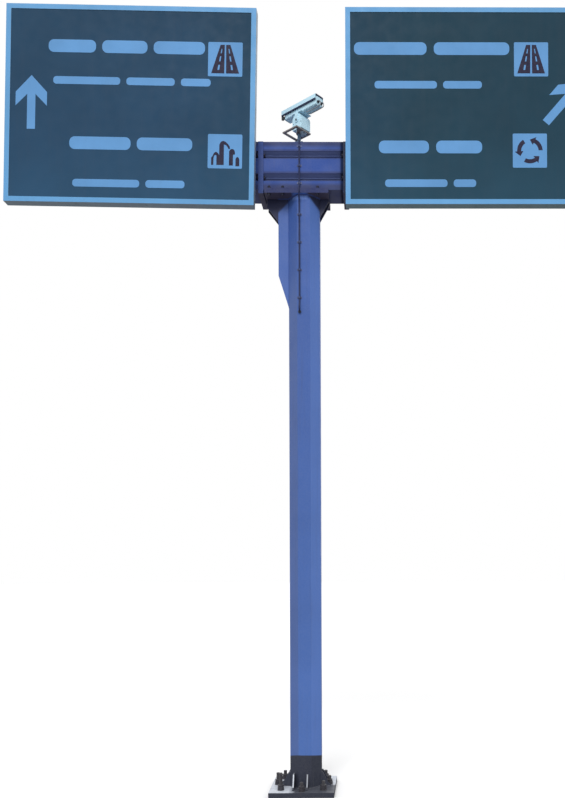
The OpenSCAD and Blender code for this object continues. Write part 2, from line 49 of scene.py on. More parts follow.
# Driving dimensions of the gantry, in metres, as in the part's source
LEFT, RIGHT = -1, 1
JOINT_X = 0.448
BEAM_MID_Z = 6.25
BEAM_H = 0.48
BEAM_D = 0.30
CAMBER = {LEFT: 1.0, RIGHT: 0.0}
PANEL_W = 2.43
PANEL_H = 1.93
PANEL_GAP = 0.89
PANEL_SHIFT = 0.017
PANEL_RISE = {LEFT: 0.488, RIGHT: 0.500}
SHEET_FRONT_Y = -0.325
RAIL_Y = -0.322
RAIL_T = 0.003
RAIL_FEET = 0.110
RAIL_COUNT = 4
POST_Y = -0.262
POST_FLANGE_T = 0.007
POST_PITCH = 0.85
SEAT_Y = -0.162
SHAFT_AF = 0.31
HAUNCH_W = 0.105
HAUNCH_D = 0.120
HAUNCH_H = 0.775
HAUNCH_TAPER_H = 0.330
BASE_T = 0.05
BASE_SHIFT = 0.025
ANCHOR_PITCH = 0.42
ANCHOR_MID_PITCH = 0.52
SIDE_GUSSET_PITCH = 0.112
FRONT_GUSSET_PITCH = 0.137
FRONT_GUSSET_SHIFT = 0.044
BASE_GUSSET_W = 0.095
BASE_GUSSET_H = 0.140
GUSSET_T = 0.012
HEAD_Z = 5.96
FLANGE_T = 0.025
FLANGE_LEFT, FLANGE_RIGHT = 0.385, 0.252
FLANGE_D = 0.39
HEAD_BOLTS_X = (-0.338, -0.204, 0.143)
FLANGE_BOLT_Y = 0.173
JOINT_BACK = 0.050
GROOVE_BOLT_Y = 0.129
GROOVE_Z = 0.112
FLANGE_BOLT = 0.020
BLACK_PAINT_TOP = 0.378
CABLE_X = -0.04
CABLE_R = 0.008
GLAND_Z = 4.79
POST = Vector((-0.045, -0.10, 0.0))
DEVICE = Vector((-0.023, -0.10, 0.0))
TRAY_Z = 6.595
SEAT_R = 0.056
TILT_Z = 6.7113
HEAD_HALF = 0.0625
SADDLE_TOP = 0.074
HOUSING_FRONT, HOUSING_REAR = -0.190, 0.250
HOUSING_W, HOUSING_H = 0.090, 0.084
SHADE_TOP = 0.173
SHADE_W = 0.110
SHADE_SKIRT = 0.049
SHADE_REACH = 0.040
PAN_REST = radians(40)
TILT_REST = radians(0)

# Places that follow from them
UP, DOWN = Vector((0, 0, 1)), Vector((0, 0, -1))
BEAM_LOW, BEAM_TOP = BEAM_MID_Z - BEAM_H / 2, BEAM_MID_Z + BEAM_H / 2
SHAFT_LEFT, SHAFT_RIGHT = -SHAFT_AF / 2, SHAFT_AF / 2
HAUNCH_LEFT = SHAFT_LEFT - HAUNCH_W
SIDES = ((LEFT, "left"), (RIGHT, "right"))


def placed(name, data):
    """New object of the scene."""
    thing = bpy.data.objects.new(name, data)
    scene.collection.objects.link(thing)
    return thing


# Camera at the photograph's place, with the picture's principal point off its middle
IMAGE_W, IMAGE_H = 565, 798
PRINCIPAL_X, PRINCIPAL_Y = 378.9, 566.58
FOCAL_PX = 788.6
SENSOR = 36.0
PITCH, YAW, ROLL = radians(0.353), radians(-0.49), radians(-0.207)
camera_data = bpy.data.cameras.new("photo_camera")
camera = placed("photo_camera", camera_data)
scene.camera = camera
camera_data.sensor_width = SENSOR
camera_data.lens = SENSOR * FOCAL_PX / IMAGE_H
camera_data.shift_x = (IMAGE_W / 2 - PRINCIPAL_X) / IMAGE_H
camera_data.shift_y = (PRINCIPAL_Y - IMAGE_H / 2) / IMAGE_H
camera_data.clip_end = 500
camera.location = (0.673, -8.0, 2.2)
camera.rotation_euler = (Matrix.Rotation(YAW, 4, "Z") @ Matrix.Rotation(pi / 2 + PITCH, 4, "X")
                         @ Matrix.Rotation(ROLL, 4, "Z")).to_euler()


def linear(r, g, b):
    """Linear colour of an sRGB colour given as 0 to 255."""
    def channel(v):
        v /= 255
        return v / 12.92 if v <= 0.04045 else ((v + 0.055) / 1.055) ** 2.4
    return (channel(r), channel(g), channel(b), 1.0)


class Nodes:
    """The nodes of a material or a world, added one after another."""

    def __init__(self, owner):
        owner.use_nodes = True
        self.tree = owner.node_tree

    def put(self, socket, value):
        if isinstance(value, bpy.types.NodeSocket):
            self.tree.links.new(value, socket)
        else:
            socket.default_value = value

    def fill(self, node, **inputs):
        """Sets or links a node's inputs; underscores stand for the spaces in their names."""
        for key, value in inputs.items():
            self.put(node.inputs[key.replace("_", " ")], value)

    def add(self, kind, **inputs):
        node = self.tree.nodes.new(kind)
        self.fill(node, **inputs)
        return node

    def span(self, value, low, high, to_low=0.0, to_high=1.0, smooth=False):
        """Value mapped from low..high to to_low..to_high, held at its ends."""
        node = self.add("ShaderNodeMapRange", Value=value, From_Min=low, From_Max=high, To_Min=to_low,
                        To_Max=to_high)
        node.interpolation_type = "SMOOTHSTEP" if smooth else "LINEAR"
        return node.outputs["Result"]

    def math(self, operation, a, b=0.0):
        node = self.add("ShaderNodeMath")
        node.operation = operation
        self.put(node.inputs[0], a)
        self.put(node.inputs[1], b)
        return node.outputs[0]

    def times(self, a, b):
        return self.math("MULTIPLY", a, b)

    def plus(self, a, b):
        return self.math("ADD", a, b)

    def minus(self, a, b):
        return self.math("SUBTRACT", a, b)

    def larger(self, a, b):
        return self.math("MAXIMUM", a, b)


class Coat(Nodes):
    """A material that ends in a Principled shader."""

    def __init__(self, name, specular=0.5, **fixed):
        self.name = name
        self.material = bpy.data.materials.new(name)
        super().__init__(self.material)
        self.set(Specular_IOR_Level=specular, **fixed)
        self.place = self.add("ShaderNodeTexCoord").outputs["Object"]
        self.x, self.y, self.z = self.add("ShaderNodeSeparateXYZ", Vector=self.place).outputs

    def set(self, **inputs):
        self.fill(self.tree.nodes["Principled BSDF"], **inputs)

    def noise(self, scale, stretch=(1, 1, 1), detail=3.0, low=0.35, high=0.65, sharp=0.5):
        """Noise from 0 to 1 over the object's place, scaled per metre and axis."""
        mapping = self.add("ShaderNodeMapping", Vector=self.place, Scale=stretch)
        noise = self.add("ShaderNodeTexNoise", Vector=mapping.outputs["Vector"], Scale=scale, Detail=detail,
                         Roughness=sharp)
        return self.span(noise.outputs["Fac"], low, high)

    def cells(self, scale, randomness=1.0):
        """Distance from the middle of round cells."""
        node = self.add("ShaderNodeTexVoronoi", Vector=self.place, Scale=scale, Randomness=randomness)
        return node.outputs["Distance"]

    def mix(self, share, a, b):
        node = self.add("ShaderNodeMix")
        node.data_type = "RGBA"
        self.fill(node, Factor=share, A=a, B=b)
        return node.outputs["Result"]

    def cover(self, base, mask, most, over):
        """Base under another colour where the mask is, up to a share of most."""
        return self.mix(self.times(mask, most), base, over)

    def off(self, value, middle=0.0):
        """Distance of a value from a middle."""
        return self.math("ABSOLUTE", self.minus(value, middle))

    def normal(self, letter, low, high):
        """Share from 0 to 1 as a part of the surface's normal goes from low to high."""
        normal = self.add("ShaderNodeNewGeometry").outputs["Normal"]
        return self.span(self.add("ShaderNodeSeparateXYZ", Vector=normal).outputs[letter], low, high)

    def finish(self, paint, gloss, patches, grain, depth):
        """Colour, roughness between the two of gloss in patches of noise, and grain of a depth in metres."""
        scale, detail = patches
        rough = self.span(self.noise(scale, detail=detail), 0, 1, *gloss)
        bump = self.add("ShaderNodeBump", Strength=1.0, Distance=depth, Height=grain)
        self.set(Base_Color=paint, Roughness=rough, Normal=bump.outputs["Normal"])
        return self

    def enamel(self, paint, gloss=(0.40, 0.60)):
        """Brushed paint."""
        return self.finish(paint, gloss, (6, 5), self.noise(420, detail=2, low=0.2, high=0.8), 0.0001)

    def powder(self, paint, gloss=(0.45, 0.60), depth=0.0001):
        """Powder coat or plastic, of a finer grain."""
        return self.finish(paint, gloss, (12, 4), self.noise(700, detail=2, low=0.2, high=0.8), depth)


# Colours measured on the photograph
BLUE = linear(66, 98, 170)
BLUE_LOW = linear(78, 112, 180)
BLUE_LIT = linear(93, 128, 202)
BLUE_HEAD_LIT = linear(112, 146, 220)
BLUE_SHADED_SIDE = linear(84, 107, 164)
BLUE_HEAD = linear(80, 111, 182)
BLUE_BEAM = linear(47, 82, 163)
BLUE_GROOVE_LIT = linear(119, 135, 186)
BLUE_JOINT = linear(54, 80, 148)
BLUE_FLANGE = linear(33, 46, 101)
# Dark violet grey: painted shade under the beam's head and in its grooves, and the darker edges of the
# beam's front
DARK_VIOLET_GREY = linear(44, 40, 56)
UNDER = linear(92, 86, 104)
BLACK = linear(51, 55, 69)
FACE_LEFT = linear(37, 73, 104)
FACE_RIGHT = linear(30, 65, 83)
FACE_TOP = (0.005, 0.03, 0.05, 1)
FACE_FOOT = (0.06, 0.19, 0.32, 1)
SHEETING = linear(104, 159, 214)
BORDER = linear(101, 165, 218)
METAL_LEFT = linear(158, 174, 188)
METAL_RIGHT = linear(136, 160, 168)
# White with a cyan cast of sky light painted in
SKY_TINTED_WHITE = linear(200, 238, 255)
TRAY = linear(137, 131, 130)
SEAT_WHITE = linear(204, 224, 226)
POST_TONE = linear(92, 122, 150)
DIRT = linear(78, 76, 80)
DUST = linear(150, 150, 148)
PALE_PAINTED_LIGHT = linear(214, 220, 230)
SHADE = linear(16, 28, 50)
RUST = linear(92, 56, 42)
NO_LIGHT = (0, 0, 0, 1)
MID_GREY = (0.5, 0.5, 0.5, 1)

# Stretches of the surface's normal over which a face counts as one that looks up, down or to the front
FACES_UP = (0.35, 0.95)
FACES_DOWN = (-0.35, -0.9)
FACES_FRONT = (-0.90, -0.95)

# Painted light and shade in the beam's front grooves: heights about a groove's middle over which each comes
# and goes, and its share
GROOVE_LIGHT = ((0.001, 0.007), (0.030, 0.040), 0.80)
GROOVE_WALL_SHADE = ((-0.052, -0.020), (0.001, 0.007), 0.60)
GROOVE_LIP_SHADE = ((0.038, 0.041), (0.044, 0.064), 0.56)
GROOVE_FLOOR_SHADE = ((-0.012, -0.004), (0.001, 0.007), 0.42)

BLUE_GLOSS, BLUE_GLOSS_IN_SHADE = 0.22, 0.03


def weathered(coat, base, dirt=0.16, dust=0.30, chips=0.0, cloud=0.12, under=0.0):
    """Mottling, rain streaks, dust on what faces up, a grey-violet tone on what faces down and rusty chips.
    """
    paint = coat.mix(coat.noise(1.3, detail=4), base, coat.mix(cloud, base, NO_LIGHT))
    paint = coat.cover(paint, coat.noise(60, detail=3), 0.10, coat.mix(0.25, paint, MID_GREY))
    streak = coat.noise(1.0, stretch=(26, 26, 0.9), detail=5, low=0.54, high=0.80)
    paint = coat.cover(paint, streak, dirt, DIRT)
    paint = coat.cover(paint, coat.normal("Z", *FACES_UP), dust, DUST)
    if under:
        paint = coat.cover(paint, coat.normal("Z", *FACES_DOWN), under, UNDER)
    if chips:
        chip = coat.noise(38, detail=6, low=0.66, high=0.70, sharp=0.62)
        paint = coat.cover(paint, chip, chips, RUST)
    return paint


def by_shaft(coat, most):
    """Share up to most over the middle of the shaft's front, none beyond."""
    middle, inner, outer = -0.036, 0.062, 0.088
    return coat.span(coat.off(coat.x, middle), inner, outer, most, 0)


def painted_head_shade(coat):
    """Share of painted shade under the beam's head: an arch over the shaft's head, and all of its gussets.
    """
    middle, half, crown = -0.0435, 0.09, HEAD_Z - 0.002
    waves, soft, step, most = 0.020, 0.02, 0.004, 0.88
    depth = coat.larger(coat.minus(coat.off(coat.x, middle), half), 0.0)
    wavy = coat.times(coat.noise(14, low=0, high=1), waves)
    edge = coat.minus(coat.minus(crown, depth), wavy)
    arch = coat.span(coat.minus(coat.z, edge), -soft, soft, smooth=True)
    outer = coat.larger(coat.span(coat.x, HAUNCH_LEFT, HAUNCH_LEFT - step),
                        coat.span(coat.x, SHAFT_RIGHT, SHAFT_RIGHT + step))
    return coat.times(coat.larger(arch, outer), most)


def blue_paint(name, base, chips=0.0, shaded_at_head=False):
    coat = Coat(name, specular=BLUE_GLOSS)
    paint = weathered(coat, base, chips=chips, under=0.6)
    # Painted shade under the beam's head
    if shaded_at_head:
        paint = coat.mix(painted_head_shade(coat), paint, DARK_VIOLET_GREY)
    return coat.enamel(paint)


def in_grooves(coat, *tones):
    """Largest share of some tones in the beam's two front grooves."""
    share = 0.0
    for k in (-1, 1):
        height = coat.minus(coat.z, BEAM_MID_Z + k * GROOVE_Z)
        for comes, goes, most in tones:
            tone = coat.times(coat.span(height, *comes, 0, most), coat.span(height, *goes, 1, 0))
            share = coat.larger(tone, share)
    return share


def beam_paint():
    """Blue paint with painted light and shade in the front grooves, darker along the front's top and bottom
    edges, and painted shade by the right joint.
    """
    edge_from, edge_to, edge_most, edge_drop = 0.174, 0.212, 0.62, 0.012
    joint_from, joint_to, joint_most = 0.356, 0.384, 0.86
    coat = Coat("beam_paint", specular=BLUE_GLOSS)
    centre = coat.span(coat.off(coat.x), 0.46, 0.45)
    paint = weathered(coat, BLUE_BEAM, under=0.6)
    # Painted light in the upper part of each front groove
    paint = coat.cover(paint, in_grooves(coat, GROOVE_LIGHT), centre, BLUE_GROOVE_LIT)
    height = coat.z
    level = coat.larger(coat.minus(height, BEAM_MID_Z), coat.minus(BEAM_MID_Z + edge_drop, height))
    edge = coat.times(coat.span(level, edge_from, edge_to, 0, edge_most), coat.normal("Y", -0.5, -0.9))
    patchy = coat.plus(coat.times(coat.noise(11, low=0, high=1), 0.5), 0.75)
    # Painted shade in the lower part of each groove and above its upper lip
    groove_shade = coat.times(in_grooves(coat, GROOVE_WALL_SHADE, GROOVE_LIP_SHADE), centre)
    paint = coat.mix(coat.larger(coat.times(edge, patchy), groove_shade), paint, DARK_VIOLET_GREY)
    # Painted shade by the right joint and on the grooves' floors, where the gloss is lowered too
    joint = coat.span(coat.x, joint_from, joint_to, 0, joint_most, smooth=True)
    joint = coat.times(coat.larger(joint, in_grooves(coat, GROOVE_FLOOR_SHADE)), centre)
    gloss = coat.span(joint, 0, 0.9, BLUE_GLOSS, BLUE_GLOSS_IN_SHADE)
    coat.set(Specular_IOR_Level=gloss)
    return coat.enamel(coat.mix(joint, paint, SHADE))


def flange_paint():
    """Dull blue paint with a few rusty chips, brighter on the left joint, with painted shade on the right
    one and painted light on the undersides over the shaft.
    """
    joints = (0.388, 0.392)
    coat = Coat("flange_paint", specular=BLUE_GLOSS)
    base = coat.mix(coat.span(coat.off(coat.x), *joints), BLUE_FLANGE, BLUE_JOINT)
    # Painted shade on the right joint's flanges
    base = coat.mix(coat.span(coat.x, *joints, 0, 0.9), base, SHADE)
    paint = weathered(coat, base, chips=0.06, dust=0.12, under=0.85)
    under = coat.normal("Z", *FACES_DOWN)
    # Painted light on the undersides over the shaft
    return coat.enamel(coat.cover(paint, under, by_shaft(coat, 0.9), BLUE_LIT))


def mast_paint():
    """Blue paint that pales towards the foot, with black near the ground, lower round the back; painted
    light on the right facets and just under the head, painted shade on the left facets and in an arch under
    the head.
    """
    head_from, head_to = HEAD_Z - 0.055, HEAD_Z - 0.030
    waves, drop, soft = 0.010, 0.036, 0.008
    coat = Coat("mast_paint", specular=BLUE_GLOSS)
    height = coat.z
    blue = coat.mix(coat.span(height, 0.5, 5.8, 1, 0), BLUE, BLUE_LOW)
    # Painted light: the facets that face right are paler
    blue = coat.cover(blue, coat.normal("X", 0.2, 0.8), 0.9, BLUE_LIT)
    # Painted shade: the facets that face left are darker, fading out towards the head
    dull = coat.span(height, 4.9, 5.6, 0.9, 0)
    blue = coat.cover(blue, coat.normal("X", -0.2, -0.8), dull, BLUE_SHADED_SIDE)
    # Painted shade in an arch under the beam's head
    shaded_at_head = coat.mix(painted_head_shade(coat), blue, DARK_VIOLET_GREY)
    # Painted light on the shaft's front just under the head, where the flange's shadow falls
    shaded_at_head = coat.cover(shaded_at_head, coat.span(height, head_from, head_to), by_shaft(coat, 1.0), BLUE_HEAD_LIT)
    wavy = coat.plus(height, coat.times(coat.noise(9, low=0, high=1), waves))
    wavy = coat.plus(wavy, coat.span(coat.y, -SHAFT_AF / 2, 0, 0, drop))
    black = coat.span(wavy, BLACK_PAINT_TOP, BLACK_PAINT_TOP + soft, 1, 0)
    paint = weathered(coat, coat.mix(black, shaded_at_head, BLACK), dirt=0.14)
    run = coat.noise(1.0, stretch=(60, 60, 2.2), detail=2, low=0.62, high=0.76)
    foot = coat.span(height, 0.34, 0.08, 0, 0.5)
    return coat.enamel(coat.cover(paint, run, foot, DUST), gloss=(0.42, 0.60))


def black_paint():
    """Thick bituminous black with rusty chips, and pale painted light on its tops on the left and in a
    corner and on the slopes that face the front.
    """
    coat = Coat("base_paint", specular=0.35)
    paint = weathered(coat, BLACK, dirt=0.3, dust=0.04, chips=0.6)
    ragged = coat.times(coat.noise(7, detail=5, low=0.3, high=0.7), 0.035)
    left = coat.span(coat.plus(coat.x, ragged), -0.135, -0.085, 0.92, 0.05)
    corner = coat.times(coat.span(coat.x, 0.17, 0.20, 0, 0.92), coat.span(coat.y, -0.05, 0))
    top = coat.times(coat.normal("Z", 0.80, 0.95), coat.larger(left, corner))
    slope = coat.times(coat.normal("Y", -0.60, -0.80), coat.normal("Z", 0.30, 0.50))
    slope = coat.times(slope, coat.span(coat.x, -0.09, 0.0, 0.95, 0.5))
    patchy = coat.plus(coat.times(coat.noise(34, detail=5), 0.25), 0.75)
    # Painted light: pale where the plate's top and the gussets' slopes catch the light
    paint = coat.cover(paint, coat.larger(top, slope), patchy, PALE_PAINTED_LIGHT)
    return coat.finish(paint, (0.34, 0.62), (14, 5), coat.noise(160, detail=4, low=0.1, high=0.9), 0.0005)


def sheeting(name, base, other=None, dirt=0.07):
    """Retroreflective film with its small cells, a little faded and streaked by rain.

    With another colour it fades to that on the right, and the sheet's other faces are bare metal.
    """
    across, panel_low, panel_high = 1.2, 5.8, 7.7
    coat = Coat(name, specular=0.08)
    if other:
        base = coat.mix(coat.span(coat.x, -across, across), base, other)
    film = coat.mix(coat.noise(2.3, detail=5), base, coat.mix(0.12, base, NO_LIGHT))
    if other:
        high = coat.span(coat.z, panel_low, panel_high)
        film = coat.cover(film, high, 0.30, FACE_TOP)
        film = coat.mix(coat.span(high, 0.35, 0, 0, 0.10), film, FACE_FOOT)
    film = coat.cover(film, coat.noise(160, detail=2), 0.06, coat.mix(0.2, film, MID_GREY))
    streak = coat.noise(1.0, stretch=(22, 1, 1.1), detail=5, low=0.52, high=0.85)
    film = coat.cover(film, streak, dirt, DIRT)
    if other:
        metal = weathered(coat, linear(150, 156, 162), dirt=0.3, dust=0.1)
        film = coat.mix(coat.normal("Y", *FACES_FRONT), metal, film)
    return coat.finish(film, (0.42, 0.56), (9, 4), coat.cells(300, randomness=0.1), 0.00012)


def border():
    """Sheeting on the front of the edge channel, bare aluminium on its other faces."""
    blend = 0.4
    coat = Coat("panel_frame", specular=0.2)
    front = coat.normal("Y", *FACES_FRONT)
    bare = coat.mix(coat.span(coat.x, -blend, blend), METAL_LEFT, METAL_RIGHT)
    metal = weathered(coat, bare, dirt=0.25)
    film = weathered(coat, BORDER, dirt=0.05, dust=0.1)
    coat.set(Metallic=coat.span(front, 0, 1, 0.4, 0))
    both = coat.mix(front, metal, film)
    return coat.finish(both, (0.40, 0.55), (9, 4), coat.noise(300, detail=2), 0.00006)


def bare_metal(name, base, metallic=0.8, dirt=0.25):
    """Zinc or aluminium with spangle, dull patches and dirt."""
    coat = Coat(name, Metallic=metallic)
    tint = coat.cover(base, coat.cells(70), 0.4, coat.mix(0.30, base, NO_LIGHT))
    metal = weathered(coat, tint, dirt=dirt, dust=0.15)
    return coat.finish(metal, (0.36, 0.58), (11, 5), coat.noise(240, detail=3), 0.00008)


def plain(name, base, gloss=(0.45, 0.60), dirt=0.12, depth=0.0001, cloud=0.06, **fixed):
    """Plastic, rubber or powder coat of one colour."""
    coat = Coat(name, **fixed)
    return coat.powder(weathered(coat, base, dirt=dirt, dust=0.12, cloud=cloud), gloss, depth)


def tray_paint():
    """Grey paint on the camera's tray, blue-grey on its post, white under the collar's seat."""
    beside_post, soft, seam, thin = POST.x + 0.014, 0.006, 0.001, 0.002
    coat = Coat("tray_metal", specular=0.3)
    squares = []
    for value, middle in ((coat.x, DEVICE.x), (coat.y, DEVICE.y)):
        off = coat.off(value, middle)
        squares.append(coat.times(off, off))
    reach = coat.math("SQRT", coat.plus(*squares))
    seat = coat.times(coat.span(reach, SEAT_R, SEAT_R + thin, 1, 0),
                      coat.span(coat.x, beside_post, beside_post + soft))
    seat = coat.times(seat, coat.normal("Z", -0.5, -0.9))
    below = coat.span(coat.z, TRAY_Z - thin, TRAY_Z - seam, 1, 0)
    base = coat.mix(below, coat.mix(seat, TRAY, SEAT_WHITE), POST_TONE)
    return coat.powder(weathered(coat, base, dirt=0.25, dust=0.12))


def window_glass():
    """Dark glass with a thin film of dirt."""
    coat = Coat("window_glass", Roughness=0.05, Transmission_Weight=0.85, IOR=1.5)
    clean, dirty = (0.30, 0.34, 0.36, 1), (0.22, 0.25, 0.27, 1)
    coat.set(Base_Color=coat.mix(coat.noise(30, detail=5), clean, dirty))
    return coat


MATERIALS = {coat.name: coat for coat in (
    black_paint(),
    mast_paint(),
    blue_paint("haunch_paint", BLUE_HEAD, shaded_at_head=True),
    flange_paint(),
    beam_paint(),
    blue_paint("post_paint", BLUE_BEAM),
    bare_metal("rail_metal", linear(178, 182, 188)),
    sheeting("panel_face", FACE_LEFT, FACE_RIGHT),
    border(),
    plain("cable_sheath", linear(34, 44, 84), gloss=(0.5, 0.7), specular=0.3),
    bare_metal("clip_metal", linear(56, 70, 116), metallic=0.3),
    plain("gland_plastic", linear(44, 47, 56)),
    tray_paint(),
    plain("camera_paint", SKY_TINTED_WHITE, gloss=(0.32, 0.45), dirt=0.03, cloud=0.03),
    window_glass(),
)}
BOLT_ZINC = bare_metal("bolt_zinc", linear(104, 108, 118), metallic=0.6)
BOLT_BLACK = bare_metal("bolt_black", linear(60, 58, 66), metallic=0.3, dirt=0.4)
BOLT_BLUE = blue_paint("bolt_blue", linear(18, 24, 50), chips=0.3)
LEGEND = sheeting("legend_sheeting", SHEETING, dirt=0.04)
INK = plain("legend_ink", linear(34, 30, 58), gloss=(0.5, 0.6), dirt=0.03, specular=0.14)
WELD = blue_paint("weld_paint", BLUE_BEAM)
WELD_BLACK = plain("weld_black", BLACK, gloss=(0.35, 0.6), depth=0.0004)
LENS = plain("lens_dark", linear(30, 32, 40), gloss=(0.08, 0.14), dirt=0.0, depth=0.00001)
LEAD = plain("lead_sheath", linear(150, 156, 164), gloss=(0.5, 0.7))
# Dark plastic of the strips that stand for painted shade under the sun shield
SHADOW_STRIP = plain("shield_shadow_strip", linear(34, 44, 76), gloss=(0.5, 0.7), specular=0.2)

for entry in frame["record"]["subparts"]:
    node = frame["nodes"][entry["node"]]
    node.data.materials.clear()
    node.data.materials.append(MATERIALS[entry["material_slot"]].material)


def polar(radius, angle):
    return (radius * cos(angle), radius * sin(angle))


def circle(radius, height, sides, turn=0.0):
    """Points of a level circle about Z."""
    return [(*polar(radius, turn + tau * i / sides), height) for i in range(sides)]


def shifted(x, y, z):
    return Matrix.Translation((x, y, z))


def axes(origin, normal, along=None):
    """Matrix whose Z is normal and whose X is along."""
    z = Vector(normal).normalized()
    x = Vector(along) if along is not None else z.orthogonal()
    x = (x - z * x.dot(z)).normalized()
    matrix = Matrix((x, z.cross(x), z)).transposed().to_4x4()
    matrix.translation = Vector(origin)
    return matrix


def inset(outline, amount):
    """Outline drawn in by amount; outlines run against the clock."""
    sharpest = 0.2
    result = []
    n = len(outline)
    for i in range(n):
        p, q, r = (Vector(outline[(i + k) % n]) for k in (-1, 0, 1))
        d, e = (q - p).normalized(), (r - q).normalized()
        normal_d, normal_e = Vector((-d.y, d.x)), Vector((-e.y, e.x))
        move = (normal_d + normal_e) / max(sharpest, 1 + normal_d.dot(normal_e))
        result.append(tuple(q + amount * move))
    return result


def rounded(width, height, radius):
    """Rectangle about the origin with round corners."""
    steps = 6
    outline = []
    for cx, cy, start in ((1, -1, -90), (1, 1, 0), (-1, 1, 90), (-1, -1, 180)):
        for i in range(steps + 1):
            x, y = polar(radius, radians(start + 90 * i / steps))
            outline.append((cx * (width / 2 - radius) + x, cy * (height / 2 - radius) + y))
    return outline


def octagon(af):
    """Corners of the mast's outline, against the clock from the front's left corner."""
    return [polar(af / 2 / cos(pi / 8), radians(45 * k - 112.5)) for k in range(8)]


class Piece:
    """Mesh of one visible piece, filled by its own methods and by the functions below."""

    SMOOTH_BELOW = radians(35)

    def __init__(self, name, coat, body="gantry", slot="flange_paint"):
        self.name, self.coat, self.body, self.slot = name, coat, body, slot
        self.mesh = bmesh.new()

    def ring(self, points, matrix):
        return [self.mesh.verts.new(matrix @ Vector(p)) for p in points]

    def skin(self, rings, capped=True):
        """Joins rings of equal length, and fills the two at the ends."""
        for low, high in zip(rings, rings[1:]):
            n = len(low)
            for i in range(n):
                j = (i + 1) % n
                self.mesh.faces.new((low[i], low[j], high[j], high[i]))
        if capped:
            self.mesh.faces.new(rings[0][::-1])
            self.mesh.faces.new(rings[-1])

    def lathe(self, matrix, profile, sides, turn=0.0):
        """Solid of revolution about Z from a profile of (radius, height), closed at its ends."""
        self.skin([self.ring(circle(radius, height, sides, turn), matrix) for radius, height in profile])

    def washer(self, matrix, inner, outer, height, sides=20):
        """Flat ring with a small edge chamfer."""
        c = min(height, outer - inner) * 0.2
        profile = [(inner, 0), (outer - c, 0), (outer, c), (outer, height - c), (outer - c, height),
                   (inner, height)]
        rings = [self.ring(circle(radius, z, sides), matrix) for radius, z in profile]
        self.skin(rings + rings[:1], capped=False)

    def prism(self, matrix, outline, height, chamfer=0.0):
        """Outline in XY carried up along Z, with its top edge chamfered."""
        rings = [self.ring([(x, y, 0) for x, y in outline], matrix)]
        if chamfer:
            rings.append(self.ring([(x, y, height - chamfer) for x, y in outline], matrix))
            outline = inset(outline, chamfer)
        rings.append(self.ring([(x, y, height) for x, y in outline], matrix))
        self.skin(rings)

    def block(self, low, high, matrix, chamfer):
        """Box with chamfered upright and top edges."""
        (x0, y0, z0), (x1, y1, z1) = low, high
        c = chamfer
        outline = [(x0 + c, y0), (x1 - c, y0), (x1, y0 + c), (x1, y1 - c),
                   (x1 - c, y1), (x0 + c, y1), (x0, y1 - c), (x0, y0 + c)]
        self.prism(matrix @ shifted(0, 0, z0), outline, z1 - z0, c * 0.7)

    def tube(self, points, radius, sides):
        """Round tube along points that are close together."""
        points = [Vector(p) for p in points]
        rings = []
        side = None
        for i, p in enumerate(points):
            along = (points[min(i + 1, len(points) - 1)] - points[max(i - 1, 0)]).normalized()
            if side is None:
                side = along.orthogonal().normalized()
            side = (side - along * side.dot(along)).normalized()
            other = along.cross(side)
            turn = Matrix((side, other, along)).transposed().to_4x4()
            rings.append(self.ring(circle(radius, 0, sides), Matrix.Translation(p) @ turn))
        self.skin(rings)

    def weld(self, start, end, a, b, size=0.006):
        """Rippled fillet from start to end, in the corner between the faces that run along a and b."""
        step, crest, trough, uneven, tail = 0.010, 0.10, -0.06, 0.05, 0.6
        root, belly = -0.15, 0.68
        start, end, a, b = Vector(start), Vector(end), Vector(a).normalized(), Vector(b).normalized()
        count = max(2, int((end - start).length / step) * 2)
        rings = []
        for i in range(count + 1):
            swell = size * (1.0 + (crest if i % 2 else trough) + random.uniform(-uneven, uneven))
            if i in (0, count):
                swell *= tail
            corner = start.lerp(end, i / count)
            rings.append([self.mesh.verts.new(corner + offset) for offset in (
                root * size * (a + b), swell * a, belly * swell * (a + b), swell * b)])
        self.skin(rings)

    def done(self):
        bmesh.ops.recalc_face_normals(self.mesh, faces=self.mesh.faces)
        for face in self.mesh.faces:
            face.smooth = True
        data = bpy.data.meshes.new(self.name)
        self.mesh.to_mesh(data)
        self.mesh.free()
        data.set_sharp_from_angle(angle=self.SMOOTH_BELOW)
        data.materials.append(self.coat.material)
        piece = placed(self.name, data)
        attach(piece, self.body)
        return piece


# Fasteners. Sizes in metres by thread: the stud, its washer, then the nut's width across flats
Thread = namedtuple("Thread", "radius pitch bore rim thick across high")
M8 = Thread(0.004, 0.00125, 0.0042, 0.008, 0.0015, 0.013, 0.0065)
M10 = Thread(0.005, 0.0015, 0.0052, 0.010, 0.002, 0.016, 0.008)
M16 = Thread(0.008, 0.002, 0.0082, 0.015, 0.003, 0.024, 0.012)
M36 = Thread(0.018, 0.004, 0.0185, 0.033, 0.006, 0.055, 0.029)
STUD_END = 0.010


def nut(piece, matrix, across, height):
    """Hexagon with chamfered corners."""
    r = across / 2 / cos(pi / 6)
    turn = random.uniform(0, 1)
    c = 0.12 * r
    piece.lathe(matrix, [(r - c, 0), (r, c * 0.6), (r, height - c * 0.6), (r - c, height)], 6, turn)


def thread(piece, matrix, radius, length, pitch):
    """Stud with ridges and a chamfered end."""
    root, end = radius * 0.88, radius * 0.80
    profile = [(root, 0)]
    count = max(2, int(length / pitch))
    for i in range(count):
        z = (i + 0.5) * length / count
        profile += [(radius, z), (root, z + 0.5 * length / count)]
    profile[-1] = (end, length)
    piece.lathe(matrix, profile, 14)


def washer_and_nut(piece, at, normal, size, sides=16):
    piece.washer(axes(at, normal), size.bore, size.rim, size.thick, sides)
    nut(piece, axes(at + normal * size.thick, normal), size.across, size.high)


